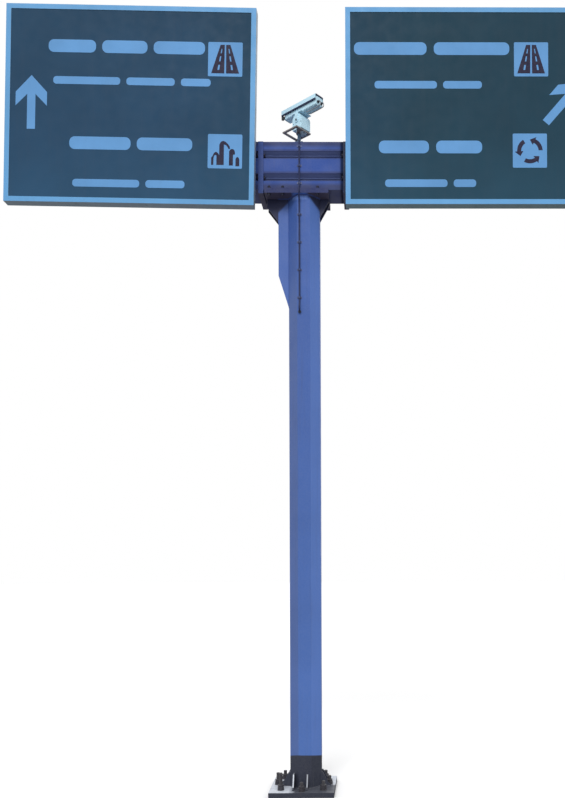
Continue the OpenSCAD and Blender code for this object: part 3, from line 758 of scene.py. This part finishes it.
def fixing(piece, at, normal, size, sides=16):
    """Washer, nut and the end of a stud on a face."""
    washer_and_nut(piece, at, normal, size, sides)
    seat = axes(at + normal * (size.thick + size.high), normal)
    thread(piece, seat, size.radius, STUD_END, size.pitch)


def bolt(piece, origin, normal, head=True):
    """Bolt of a flange pair: head and washer on the side of normal, washer, nut and thread on the other."""
    size, grip = FLANGE_BOLT, 2 * FLANGE_T
    across, head_high, nut_high = size * 1.5, size * 0.65, size * 0.8
    bore, rim, thick = size * 0.52, size * 1.85 / 2, size * 0.16
    tail, pitch = size * 0.45, size * 0.125
    up = axes(origin, normal)
    down = axes(Vector(origin) - grip * Vector(normal), -Vector(normal))
    for side, is_head in ((up, head), (down, False)):
        piece.washer(side, bore, rim, thick)
        seat = side @ shifted(0, 0, thick)
        if is_head:
            nut(piece, seat, across, head_high)
        else:
            nut(piece, seat, across, nut_high)
            thread(piece, seat @ shifted(0, 0, nut_high), size / 2, tail, pitch)


def rivet(piece, matrix, radius):
    """Low round head."""
    piece.lathe(matrix, [(radius, 0), (radius * 0.86, radius * 0.4), (radius * 0.4, radius * 0.62)], 8)


# Anchor studs with a washer, a nut and a lock nut; those at the left stand out further
STUD_LOW = -0.045
STUD_LENGTH = 0.135
STUD_LONG = {(-1, -1): 0.215, (-1, 0): 0.165}
LOCK_NUT_LOW, LOCK_NUT_H = 0.0355, 0.018
anchors = Piece("anchor_bolts", BOLT_BLACK, slot="clip_metal")
for i in (-1, 0, 1):
    for j in (-1, 0, 1):
        if i or j:
            pitch = ANCHOR_PITCH if i and j else ANCHOR_MID_PITCH
            at = Vector((i * pitch / 2 - BASE_SHIFT, j * pitch / 2, BASE_T))
            washer_and_nut(anchors, at, UP, M36, sides=28)
            nut(anchors, axes(at + UP * LOCK_NUT_LOW, UP), M36.across, LOCK_NUT_H)
            length = STUD_LONG.get((i, j), STUD_LENGTH)
            thread(anchors, axes(at + UP * STUD_LOW, UP), M36.radius, length, M36.pitch)
anchors.done()

# Bolts of the flange between mast and beam
head_bolts = Piece("head_flange_bolts", BOLT_BLUE)
for x in HEAD_BOLTS_X:
    for side in (-1, 1):
        bolt(head_bolts, (x, side * FLANGE_BOLT_Y, HEAD_Z + 2 * FLANGE_T), UP, head=False)
head_bolts.done()

# Bolts of the two beam joints, behind the beam and in its front grooves
for side, word in SIDES:
    joint_bolts = Piece("joint_bolts_" + word, BOLT_BLUE)
    face = Vector((side * (JOINT_X - 2 * FLANGE_T), 0, BEAM_MID_Z))
    places = [(BEAM_D / 2 + JOINT_BACK / 2, k * BEAM_H / 4) for k in (-1.5, -0.5, 0.5, 1.5)]
    places += [(-GROOVE_BOLT_Y, k * GROOVE_Z) for k in (-1, 1)]
    for y, z in places:
        bolt(joint_bolts, face + Vector((0, y, z)), (-side, 0, 0))
    joint_bolts.done()

# Welds at the mast's foot, round the shaft and along both faces of each gusset
SHAFT_WELD = 0.008
CLEAR_OUT, CLEAR_UP = 0.012, 0.01


def weld_round_shaft(piece, z, way):
    corners = octagon(SHAFT_AF)
    for (x0, y0), (x1, y1) in zip(corners, corners[1:] + corners[:1]):
        piece.weld((x0, y0, z), (x1, y1, z), (y1 - y0, x0 - x1, 0), way, SHAFT_WELD)


foot_welds = Piece("foot_welds", WELD_BLACK, slot="base_paint")
weld_round_shaft(foot_welds, BASE_T, UP)
plates = []
for way in (-1, 1):
    for k in (-1, 1):
        plates.append(((way, 0, 0), (0, 1, 0), k * SIDE_GUSSET_PITCH / 2))
        plates.append(((0, way, 0), (1, 0, 0), k * FRONT_GUSSET_PITCH / 2 - FRONT_GUSSET_SHIFT))
for along, across, place in plates:
    along, across = Vector(along), Vector(across)
    for k in (-1, 1):
        edge = place + k * GUSSET_T / 2
        reach = min(SHAFT_AF / 2, SHAFT_AF / sqrt(2) - abs(edge))
        face = k * across
        if reach < SHAFT_AF / 2:
            face -= k * copysign(1, edge) * along
        foot = along * reach + across * edge + UP * BASE_T
        tip = along * (SHAFT_AF / 2 + BASE_GUSSET_W) + across * edge + UP * BASE_T
        foot_welds.weld(foot + along * CLEAR_OUT, tip, k * across, UP)
        foot_welds.weld(foot + UP * CLEAR_UP, foot + UP * BASE_GUSSET_H, face, along)
foot_welds.done()

# Welds at the mast's head and on the haunch
SEAM_WELD = 0.005
HAUNCH_WELD = 0.007
head_welds = Piece("head_welds", WELD, slot="haunch_paint")
weld_round_shaft(head_welds, HEAD_Z, DOWN)
for side in (-1, 1):
    y = side * HAUNCH_D / 2
    head_welds.weld((SHAFT_LEFT, y, HEAD_Z), (SHAFT_LEFT, y, HEAD_Z - HAUNCH_H - HAUNCH_TAPER_H),
                    (0, side, 0), (-1, side, 0), SEAM_WELD)
    head_welds.weld((SHAFT_LEFT, y, HEAD_Z), (HAUNCH_LEFT, y, HEAD_Z), (0, side, 0), DOWN, HAUNCH_WELD)
head_welds.weld((HAUNCH_LEFT, -HAUNCH_D / 2, HEAD_Z), (HAUNCH_LEFT, HAUNCH_D / 2, HEAD_Z), (-1, 0, 0), DOWN)
head_welds.done()

# Welds along the beam's flanges, in the back on the flats above, between and below its grooves
BACK_FLATS = ((0.24, 0.15), (0.074, -0.074), (-0.15, -0.24))
back = BEAM_D / 2
beam_welds = Piece("beam_welds", WELD, slot="beam_paint")
for side in (LEFT, RIGHT):
    for x, way in ((side * (JOINT_X - 2 * FLANGE_T), -side), (side * JOINT_X, side)):
        for z0, z1 in BACK_FLATS:
            beam_welds.weld((x, back, BEAM_MID_Z + z0), (x, back, BEAM_MID_Z + z1), (0, 1, 0), (way, 0, 0))
        beam_welds.weld((x, -back, BEAM_LOW), (x, back, BEAM_LOW), DOWN, (way, 0, 0))
for side in (-1, 1):
    y = side * back
    beam_welds.weld((-FLANGE_LEFT, y, BEAM_LOW), (FLANGE_RIGHT, y, BEAM_LOW), (0, side, 0), UP, SEAM_WELD)
beam_welds.done()


# Arms and panels
def arm_axes(side):
    """Axes of an arm: X to the right in the world, the origin at its joint, halfway up the beam."""
    return (shifted(side * JOINT_X, 0, BEAM_MID_Z)
            @ Matrix.Rotation(radians(-side * CAMBER[side]), 4, "Y"))


def panel_start(side):
    """Distance from an arm's joint to the near edge of its panel."""
    return PANEL_GAP / 2 - side * PANEL_SHIFT - JOINT_X


def panel_axes(side):
    """Axes in the middle of a sheet's front: X to the right, Y up, Z towards the viewer."""
    along = panel_start(side) + PANEL_W / 2
    middle = arm_axes(side) @ Vector((side * along, SHEET_FRONT_Y, PANEL_RISE[side]))
    turn = arm_axes(side).to_3x3()
    return axes(middle, turn @ Vector((0, -1, 0)), turn @ Vector((1, 0, 0)))


# Sign faces. Lines of words are left as plain bars, one for each word
LEGEND_T, LEGEND_CHAMFER = 0.0012, 0.0004
INK_T = 0.0006
LINES = (("large", 0.125), ("small", 0.075))
PICTOGRAM, PICTOGRAM_R = 0.335, 0.012


def bar(piece, at, x0, x1, y, height):
    outline = rounded(x1 - x0, height, height * 0.42)
    piece.prism(at @ shifted((x0 + x1) / 2, y, 0), outline, LEGEND_T, LEGEND_CHAMFER)


def arrow(piece, at, x, y, angle):
    """Arrow whose shaft starts at x, y and points up before it is turned by angle."""
    half, tip, barb = 0.040, 0.525, 0.152
    notch, low, high = tip - 0.184, tip - 0.298, tip - 0.164
    outline = [(-half, 0), (half, 0), (half, notch), (barb, low), (barb, high),
               (0, tip), (-barb, high), (-barb, low), (-half, notch)]
    piece.prism(at @ shifted(x, y, 0) @ Matrix.Rotation(angle, 4, "Z"), outline, LEGEND_T)


def motorway(piece, at):
    """Two carriageways that meet in the distance, with lane marks left open."""
    top, bottom = 0.142, -0.138
    near_in, near_wide, far_in, far_wide = 0.009, 0.127, 0.007, 0.041
    mark_in, mark_out = 0.42, 0.58
    marks = ((0.0, 0.12), (0.30, 0.42), (0.60, 0.70), (0.86, 1.0))
    strips = [(0.0, mark_in, 0, 1), (mark_out, 1.0, 0, 1)]
    strips += [(mark_in, mark_out, t0, t1) for t0, t1 in marks]
    for side in (-1, 1):
        def edge(share, t):
            near, far = side * (near_in + near_wide * share), side * (far_in + far_wide * share)
            return (near + (far - near) * t, bottom + (top - bottom) * t)
        for low, high, t0, t1 in strips:
            strip = [edge(low, t0), edge(high, t0), edge(high, t1), edge(low, t1)]
            piece.prism(at, strip if side > 0 else strip[::-1], INK_T)


def skyline(piece, at):
    """Row of buildings with round roofs; places run from the plate's top left corner, from 0 to 1."""
    tower = [(0.333, 0.90), (0.333, 0.31), (0.36, 0.25), (0.40, 0.21), (0.45, 0.195), (0.52, 0.225),
             (0.58, 0.28), (0.63, 0.35), (0.65, 0.42), (0.60, 0.43), (0.57, 0.37), (0.53, 0.32),
             (0.468, 0.30), (0.468, 0.90)]
    house = [(0.103, 0.90), (0.103, 0.69), (0.14, 0.64), (0.17, 0.57), (0.20, 0.535), (0.24, 0.515),
             (0.28, 0.54), (0.31, 0.57), (0.333, 0.62), (0.333, 0.90), (0.255, 0.90), (0.255, 0.64),
             (0.24, 0.61), (0.21, 0.61), (0.185, 0.64), (0.17, 0.70), (0.165, 0.90)]
    block = [(0.62, 0.91), (0.62, 0.50), (0.64, 0.455), (0.68, 0.43), (0.73, 0.428), (0.77, 0.455),
             (0.79, 0.52), (0.79, 0.59), (0.745, 0.59), (0.735, 0.61), (0.735, 0.91)]
    shed = [(0.81, 0.93), (0.81, 0.72), (0.84, 0.67), (0.865, 0.655), (0.90, 0.68), (0.92, 0.73),
            (0.92, 0.93)]
    for outline in (tower, house, block, shed):
        piece.prism(at, [((u - 0.5) * PICTOGRAM, (0.5 - v) * PICTOGRAM) for u, v in outline[::-1]], INK_T)


def roundabout(piece, at):
    """Three bent arrows round a circle."""
    first, sweep, point, steps = radians(122), radians(62), 0.45, 8
    outer, inner, barb_out, barb_in, tip = 0.125, 0.085, 0.148, 0.064, 0.108
    for k in range(3):
        angles = [first + tau * k / 3 + sweep * i / steps for i in range(steps + 1)]
        end = angles[-1]
        outline = [polar(outer, angle) for angle in angles]
        outline += [polar(barb_out, end), polar(tip, end + point), polar(barb_in, end)]
        outline += [polar(inner, angle) for angle in reversed(angles)]
        piece.prism(at, outline, INK_T)


# For each panel: where the arrow starts and its turn, each line's height with the ends of its words, and
# the pictograms' middles
SIGNS = {
    LEFT: {
        "arrow": (-0.960, -0.2575, 0.0),
        "large": [(0.56, ((-0.80, -0.34), (-0.28, 0.16), (0.22, 0.72))),
                  (-0.385, ((-0.585, 0.01), (0.07, 0.61)))],
        "small": [(0.225, ((-0.75, -0.10), (-0.04, 0.43), (0.49, 0.78))),
                  (-0.775, ((-0.55, 0.10), (0.16, 0.54)))],
        "pictograms": [(0.919, 0.457, motorway), (0.929, -0.4435, skyline)],
    },
    RIGHT: {
        "arrow": (0.745, -0.165, radians(-41)),
        "large": [(0.56, ((-1.13, -0.42), (-0.35, 0.39))), (-0.405, ((-0.89, -0.40), (-0.33, 0.12)))],
        "small": [(0.205, ((-0.93, -0.32), (-0.26, 0.12))), (-0.76, ((-0.83, -0.22), (-0.16, 0.06)))],
        "pictograms": [(0.603, 0.456, motorway), (0.587, -0.44, roundabout)],
    },
}
for side, word in SIDES:
    sign, at = SIGNS[side], panel_axes(side)
    legend = Piece("legend_" + word, LEGEND, slot="panel_frame")
    ink = Piece("pictograms_" + word, INK, slot="base_paint")
    arrow(legend, at, *sign["arrow"])
    for key, height in LINES:
        for y, words in sign[key]:
            for x0, x1 in words:
                bar(legend, at, x0, x1, y, height)
    for x, y, draw in sign["pictograms"]:
        middle = at @ shifted(x, y, 0)
        legend.prism(middle, rounded(PICTOGRAM, PICTOGRAM, PICTOGRAM_R), LEGEND_T)
        draw(ink, middle @ shifted(0, 0, LEGEND_T))
    legend.done()
    ink.done()


# Smooth cable in place of the plain one, along the same route
def smooth_route(points, radius, steps=7):
    """Points of a polyline whose corners are rounded to radius."""
    points = [Vector(p) for p in points]
    result = [points[0]]
    for a, b, c in zip(points, points[1:], points[2:]):
        reach = min(radius, (b - a).length * 0.45, (c - b).length * 0.45)
        start, end = b + (a - b).normalized() * reach, b + (c - b).normalized() * reach
        for i in range(steps + 1):
            t = i / steps
            result.append(start.lerp(b, t).lerp(b.lerp(end, t), t))
    return result + [points[-1]]


CABLE_GAP, CABLE_FLANGE_GAP = 0.0005, 0.003
CABLE_BEND, CABLE_SIDES = 0.03, 14
beam_y = -BEAM_D / 2 - CABLE_R - CABLE_GAP
mast_y = -SHAFT_AF / 2 - CABLE_R - CABLE_GAP
flange_y = -FLANGE_D / 2 - CABLE_R - CABLE_FLANGE_GAP
cable_route = [(CABLE_X, y, z) for y, z in (
    (-0.117, BEAM_TOP + 0.022), (-0.148, BEAM_TOP + 0.020), (beam_y, BEAM_TOP + 0.006),
    (beam_y, BEAM_LOW + 0.050), (flange_y, BEAM_LOW + 0.015),
    (flange_y, HEAD_Z - 0.015), (mast_y, HEAD_Z - 0.060), (mast_y, GLAND_Z + 0.090),
    (mast_y - 0.030, GLAND_Z + 0.045), (mast_y - 0.030, GLAND_Z + 0.020), (mast_y - 0.014, GLAND_Z),
    (-SHAFT_AF / 2 + 0.004, GLAND_Z))]
cable = Piece("cable_sheath", MATERIALS["cable_sheath"], slot="cable_sheath")
cable.tube(smooth_route(cable_route, CABLE_BEND), CABLE_R, CABLE_SIDES)
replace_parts(cable.done(), "cable")


# Back of the panels: rivets along the rails' feet, bolts through the rails, clamps on the posts' feet
RIVETS, RIVET_R, RIVET_MARGIN, RIVET_IN = 16, 0.005, 0.08, 0.011
RAIL_BOLT_X = 0.019
CLAMP_X, CLAMP_Y, CLAMP_Z = 0.046, SEAT_Y - 0.015, 0.16
CLAMP_LOW, CLAMP_HIGH, CLAMP_CHAMFER = (-0.020, -0.009, -0.030), (0.020, 0.007, 0.030), 0.002
CLAMP_BOLT = (0.004, -0.009)
for side, word in SIDES:
    arm = arm_axes(side)
    back = arm.to_3x3() @ Vector((0, 1, 0))
    first = panel_start(side)
    foot = PANEL_RISE[side] - PANEL_H / 2
    rails = [foot + PANEL_H * (i + 0.5) / RAIL_COUNT for i in range(RAIL_COUNT)]
    posts = [first + PANEL_W / 2 + i * POST_PITCH for i in (-1, 0, 1)]
    rivets = Piece("panel_rivets_" + word, MATERIALS["rail_metal"], slot="rail_metal")
    fixings = Piece("panel_fixings_" + word, BOLT_ZINC, slot="clip_metal")
    for z in rails:
        for k in (-1, 1):
            for i in range(RIVETS):
                x = first + RIVET_MARGIN + (PANEL_W - 2 * RIVET_MARGIN) * i / (RIVETS - 1)
                at = arm @ Vector((side * x, RAIL_Y + RAIL_T, z + k * (RAIL_FEET / 2 - RIVET_IN)))
                rivet(rivets, axes(at, back), RIVET_R)
        for x in posts:
            for k in (-1, 1):
                at = arm @ Vector((side * (x + k * RAIL_BOLT_X), POST_Y + POST_FLANGE_T, z))
                fixing(fixings, at, back, M10, sides=14)
    for x in posts:
        for z in (-CLAMP_Z, CLAMP_Z):
            for k in (-1, 1):
                clamp = arm @ shifted(side * (x + k * CLAMP_X), CLAMP_Y, z)
                fixings.block(CLAMP_LOW, CLAMP_HIGH, clamp, CLAMP_CHAMFER)
                at = clamp @ Vector((side * k * CLAMP_BOLT[0], CLAMP_BOLT[1], 0))
                fixing(fixings, at, -back, M16)
    rivets.done()
    fixings.done()


# Device above the beam
def head_frame(angle=0.0):
    """Axes of the turning head: the camera looks along -X; angle tilts them about the tilt axis."""
    return (Matrix.Translation(DEVICE + UP * TILT_Z) @ Matrix.Rotation(-PAN_REST, 4, "Z")
            @ Matrix.Rotation(-angle, 4, "Y"))


def sideways(side):
    """Turns Z to the side that side names along Y."""
    return Matrix.Rotation(-side * pi / 2, 4, "X")


level, tilted = head_frame(), head_frame(TILT_REST)
forward = Matrix.Rotation(-pi / 2, 4, "Y")
housing_mid = SADDLE_TOP + HOUSING_H / 2
shade_low = SHADE_TOP - SHADE_SKIRT
shade_front, shade_rear = HOUSING_FRONT - SHADE_REACH, HOUSING_REAR
dark_plastic = MATERIALS["gland_plastic"]

# Lens behind the window, as radii and heights from the back of its barrel
LENS_BACK = HOUSING_FRONT + 0.150
LENS_PROFILE = [(0.030, 0), (0.030, 0.09), (0.034, 0.092), (0.034, 0.115), (0.031, 0.117), (0.024, 0.112),
                (0.020, 0.114), (0.010, 0.118)]
optics = Piece("camera_lens", LENS, "camera", "gland_plastic")
optics.lathe(tilted @ shifted(LENS_BACK, 0, housing_mid) @ forward, LENS_PROFILE, 32)
optics.done()

# Bezel round the window, with a screw in each corner
BEZEL_W, BEZEL_FOOT, BEZEL_EDGE, BEZEL_TOP = 0.007, -0.004, 0.003, 0.005
BEZEL_CHAMFER = BEZEL_TOP - BEZEL_EDGE
BEZEL_SCREW_X, BEZEL_SCREW_Y, BEZEL_SCREW_R = 0.0324, 0.0351, 0.0022
bezel = Piece("camera_bezel", dark_plastic, "camera", "gland_plastic")
facing = tilted @ shifted(HOUSING_FRONT, 0, housing_mid) @ forward
outer = rounded(HOUSING_H, HOUSING_W, 0.014)
inner = rounded(HOUSING_H - 2 * BEZEL_W, HOUSING_W - 2 * BEZEL_W, 0.009)
loops = [(outer, BEZEL_FOOT), (outer, BEZEL_EDGE), (inset(outer, BEZEL_CHAMFER), BEZEL_TOP),
         (inset(inner, -BEZEL_CHAMFER), BEZEL_TOP), (inner, BEZEL_EDGE), (inner, BEZEL_FOOT)]
rings = [bezel.ring([(x, y, z) for x, y in loop], facing) for loop, z in loops]
bezel.skin(rings + rings[:1], capped=False)
for x in (-BEZEL_SCREW_X, BEZEL_SCREW_X):
    for y in (-BEZEL_SCREW_Y, BEZEL_SCREW_Y):
        rivet(bezel, facing @ shifted(x, y, BEZEL_TOP), BEZEL_SCREW_R)
bezel.done()

# Dark strips along the lower edges and the rear of the sun shield: painted shade in the gaps beneath it
SHADOW_STRIP_HALF, SHADOW_STRIP_IN, SHADOW_STRIP_END = 0.004, 0.0015, 0.002
SHADOW_STRIP_DOWN, SHADOW_STRIP_UP, SHADOW_STRIP_CHAMFER = 0.006, 0.010, 0.0015
REAR_X, REAR_Z, REAR_IN, REAR_CHAMFER = (-0.004, 0.003), (-0.013, 0.002), 0.006, 0.001
shadow_strip = Piece("shield_shadow_strip", SHADOW_STRIP, "camera", "gland_plastic")
for side in (-1, 1):
    y = side * (SHADE_W / 2 - SHADOW_STRIP_IN)
    shadow_strip.block((shade_front + SHADOW_STRIP_END, y - SHADOW_STRIP_HALF, shade_low - SHADOW_STRIP_DOWN),
                 (shade_rear - SHADOW_STRIP_END, y + SHADOW_STRIP_HALF, shade_low + SHADOW_STRIP_UP), tilted, SHADOW_STRIP_CHAMFER)
shadow_strip.block((shade_rear + REAR_X[0], -SHADE_W / 2 + REAR_IN, SHADE_TOP + REAR_Z[0]),
             (shade_rear + REAR_X[1], SHADE_W / 2 - REAR_IN, SHADE_TOP + REAR_Z[1]), tilted, REAR_CHAMFER)
shadow_strip.done()

# Washer's nozzle under the window, with its pipe
NOZZLE_LOW = (HOUSING_FRONT - 0.044, -0.052, shade_low - 0.036)
NOZZLE_HIGH = (HOUSING_FRONT - 0.016, -0.030, shade_low - 0.004)
PIPE_X, PIPE_Y, PIPE_Z, PIPE_R = (0.010, -0.020), -0.041, shade_low - 0.026, 0.005
nozzle = Piece("washer_nozzle", dark_plastic, "camera", "gland_plastic")
nozzle.block(NOZZLE_LOW, NOZZLE_HIGH, tilted, 0.003)
nozzle.tube([tilted @ Vector((HOUSING_FRONT + x, PIPE_Y, PIPE_Z)) for x in PIPE_X], PIPE_R, 10)
nozzle.done()

# Screws on the shield, and the hub with its nut on each side of the tilt axis
SHADE_SCREW_IN, SHADE_SCREW_Y, SHADE_SCREW_R = 0.060, 0.030, 0.0052
SHADE_WASHER = (0.003, 0.0075, 0.0012)
HUB_Y, HUB_H, HUB_NUT_H = HEAD_HALF + 0.0095, 0.0035, 0.004
HUB_PROFILE = [(0.0105, 0), (0.0105, 0.002), (0.009, HUB_H)]
trim = Piece("camera_screws", BOLT_ZINC, "camera", "clip_metal")
for x in (HOUSING_FRONT + SHADE_SCREW_IN, HOUSING_REAR - SHADE_SCREW_IN):
    for y in (-SHADE_SCREW_Y, SHADE_SCREW_Y):
        at = tilted @ shifted(x, y, SHADE_TOP)
        trim.washer(at, *SHADE_WASHER, 16)
        rivet(trim, at @ shifted(0, 0, SHADE_WASHER[2]), SHADE_SCREW_R)
for side in (-1, 1):
    hub = tilted @ shifted(0, side * HUB_Y, 0) @ sideways(side)
    trim.lathe(hub, HUB_PROFILE, 24)
    nut(trim, hub @ shifted(0, 0, HUB_H), M8.across, HUB_NUT_H)
trim.done()

# Two short leads from the glands back under the saddle
LEAD_Y, LEAD_R, LEAD_BEND = 0.022, 0.0045, 0.05
gland_height = SADDLE_TOP + 0.35 * HOUSING_H
leads = Piece("camera_leads", LEAD, "camera", "cable_sheath")
for y in (-LEAD_Y, LEAD_Y):
    route = [(HOUSING_REAR + 0.010, y, gland_height), (HOUSING_REAR + 0.036, y, gland_height - 0.002),
             (HOUSING_REAR + 0.040, y, SADDLE_TOP - 0.012), (HOUSING_REAR - 0.020, y, SADDLE_TOP - 0.016),
             (0.110, y, SADDLE_TOP - 0.016), (0.084, y, SADDLE_TOP - 0.006)]
    leads.tube([tilted @ p for p in smooth_route(route, LEAD_BEND, 8)], LEAD_R, 12)
leads.done()

# Screws in the turning head's two cheeks
CHEEK_X, CHEEK_Z, CHEEK_SCREW_R = 0.048, (-0.080, -0.030), 0.0045
head_trim = Piece("head_screws", BOLT_ZINC, "pan_head", "clip_metal")
for side in (-1, 1):
    for z in CHEEK_Z:
        for x in (-CHEEK_X, CHEEK_X):
            rivet(head_trim, level @ shifted(x, side * HEAD_HALF, z) @ sideways(side), CHEEK_SCREW_R)
head_trim.done()

# Nuts on the post's foot plate and under the collar's seat
FOOT_PLATE_T = 0.008
NUT_HALF_PITCH, SEAT_NUT_H = 0.030, 0.0055
tray_bolts = Piece("tray_bolts", BOLT_ZINC, slot="clip_metal")
for i in (-1, 1):
    for j in (-1, 1):
        corner = Vector((i * NUT_HALF_PITCH, j * NUT_HALF_PITCH, 0))
        washer_and_nut(tray_bolts, POST + corner + UP * (BEAM_TOP + FOOT_PLATE_T), UP, M8)
        nut(tray_bolts, axes(DEVICE + corner + UP * TRAY_Z, DOWN), M8.across, SEAT_NUT_H)
tray_bolts.done()


# Wide floor that looks nearly white to the camera and throws little light on the object
FLOOR_SHADE, FLOOR_SEEN = (0.22, 0.22, 0.22, 1), (0.90, 0.90, 0.90, 1)
FLOOR_R, FLOOR_Z = 150, -0.001
coat = Coat("floor", Roughness=0.9)
seen = coat.add("ShaderNodeLightPath").outputs["Is Camera Ray"]
coat.set(Base_Color=coat.mix(seen, FLOOR_SHADE, FLOOR_SEEN))
bpy.ops.mesh.primitive_circle_add(vertices=64, radius=FLOOR_R, fill_type="NGON", location=(0, 0, FLOOR_Z))
floor = bpy.context.object
floor.name = "floor"
floor.data.materials.append(coat.material)

# Even light from all sides, plain white to the camera, in reflections and through glass
WORLD_LIGHT, WORLD_WHITE = 0.95, 1.0
scene.world = bpy.data.worlds.new("studio")
sky = Nodes(scene.world)
rays = sky.add("ShaderNodeLightPath").outputs
seen = sky.larger(sky.larger(rays["Is Camera Ray"], rays["Is Glossy Ray"]), rays["Is Transmission Ray"])
strength = sky.span(seen, 0, 1, WORLD_LIGHT, WORLD_WHITE)
sky.fill(sky.tree.nodes["Background"], Color=(1, 1, 1, 1), Strength=strength)

# Large soft light, high in front and a little to the left
KEY_ENERGY, KEY_ANGLE = 1.5, radians(24)
KEY_ELEVATION, KEY_AZIMUTH = radians(43), radians(-8)
sun = bpy.data.lights.new("key", "SUN")
sun.energy = KEY_ENERGY
sun.angle = KEY_ANGLE
towards = Vector((sin(KEY_AZIMUTH) * cos(KEY_ELEVATION), -cos(KEY_AZIMUTH) * cos(KEY_ELEVATION),
                  sin(KEY_ELEVATION)))
placed("key", sun).rotation_euler = towards.to_track_quat("Z", "Y").to_euler()

scene.view_settings.view_transform = "Standard"
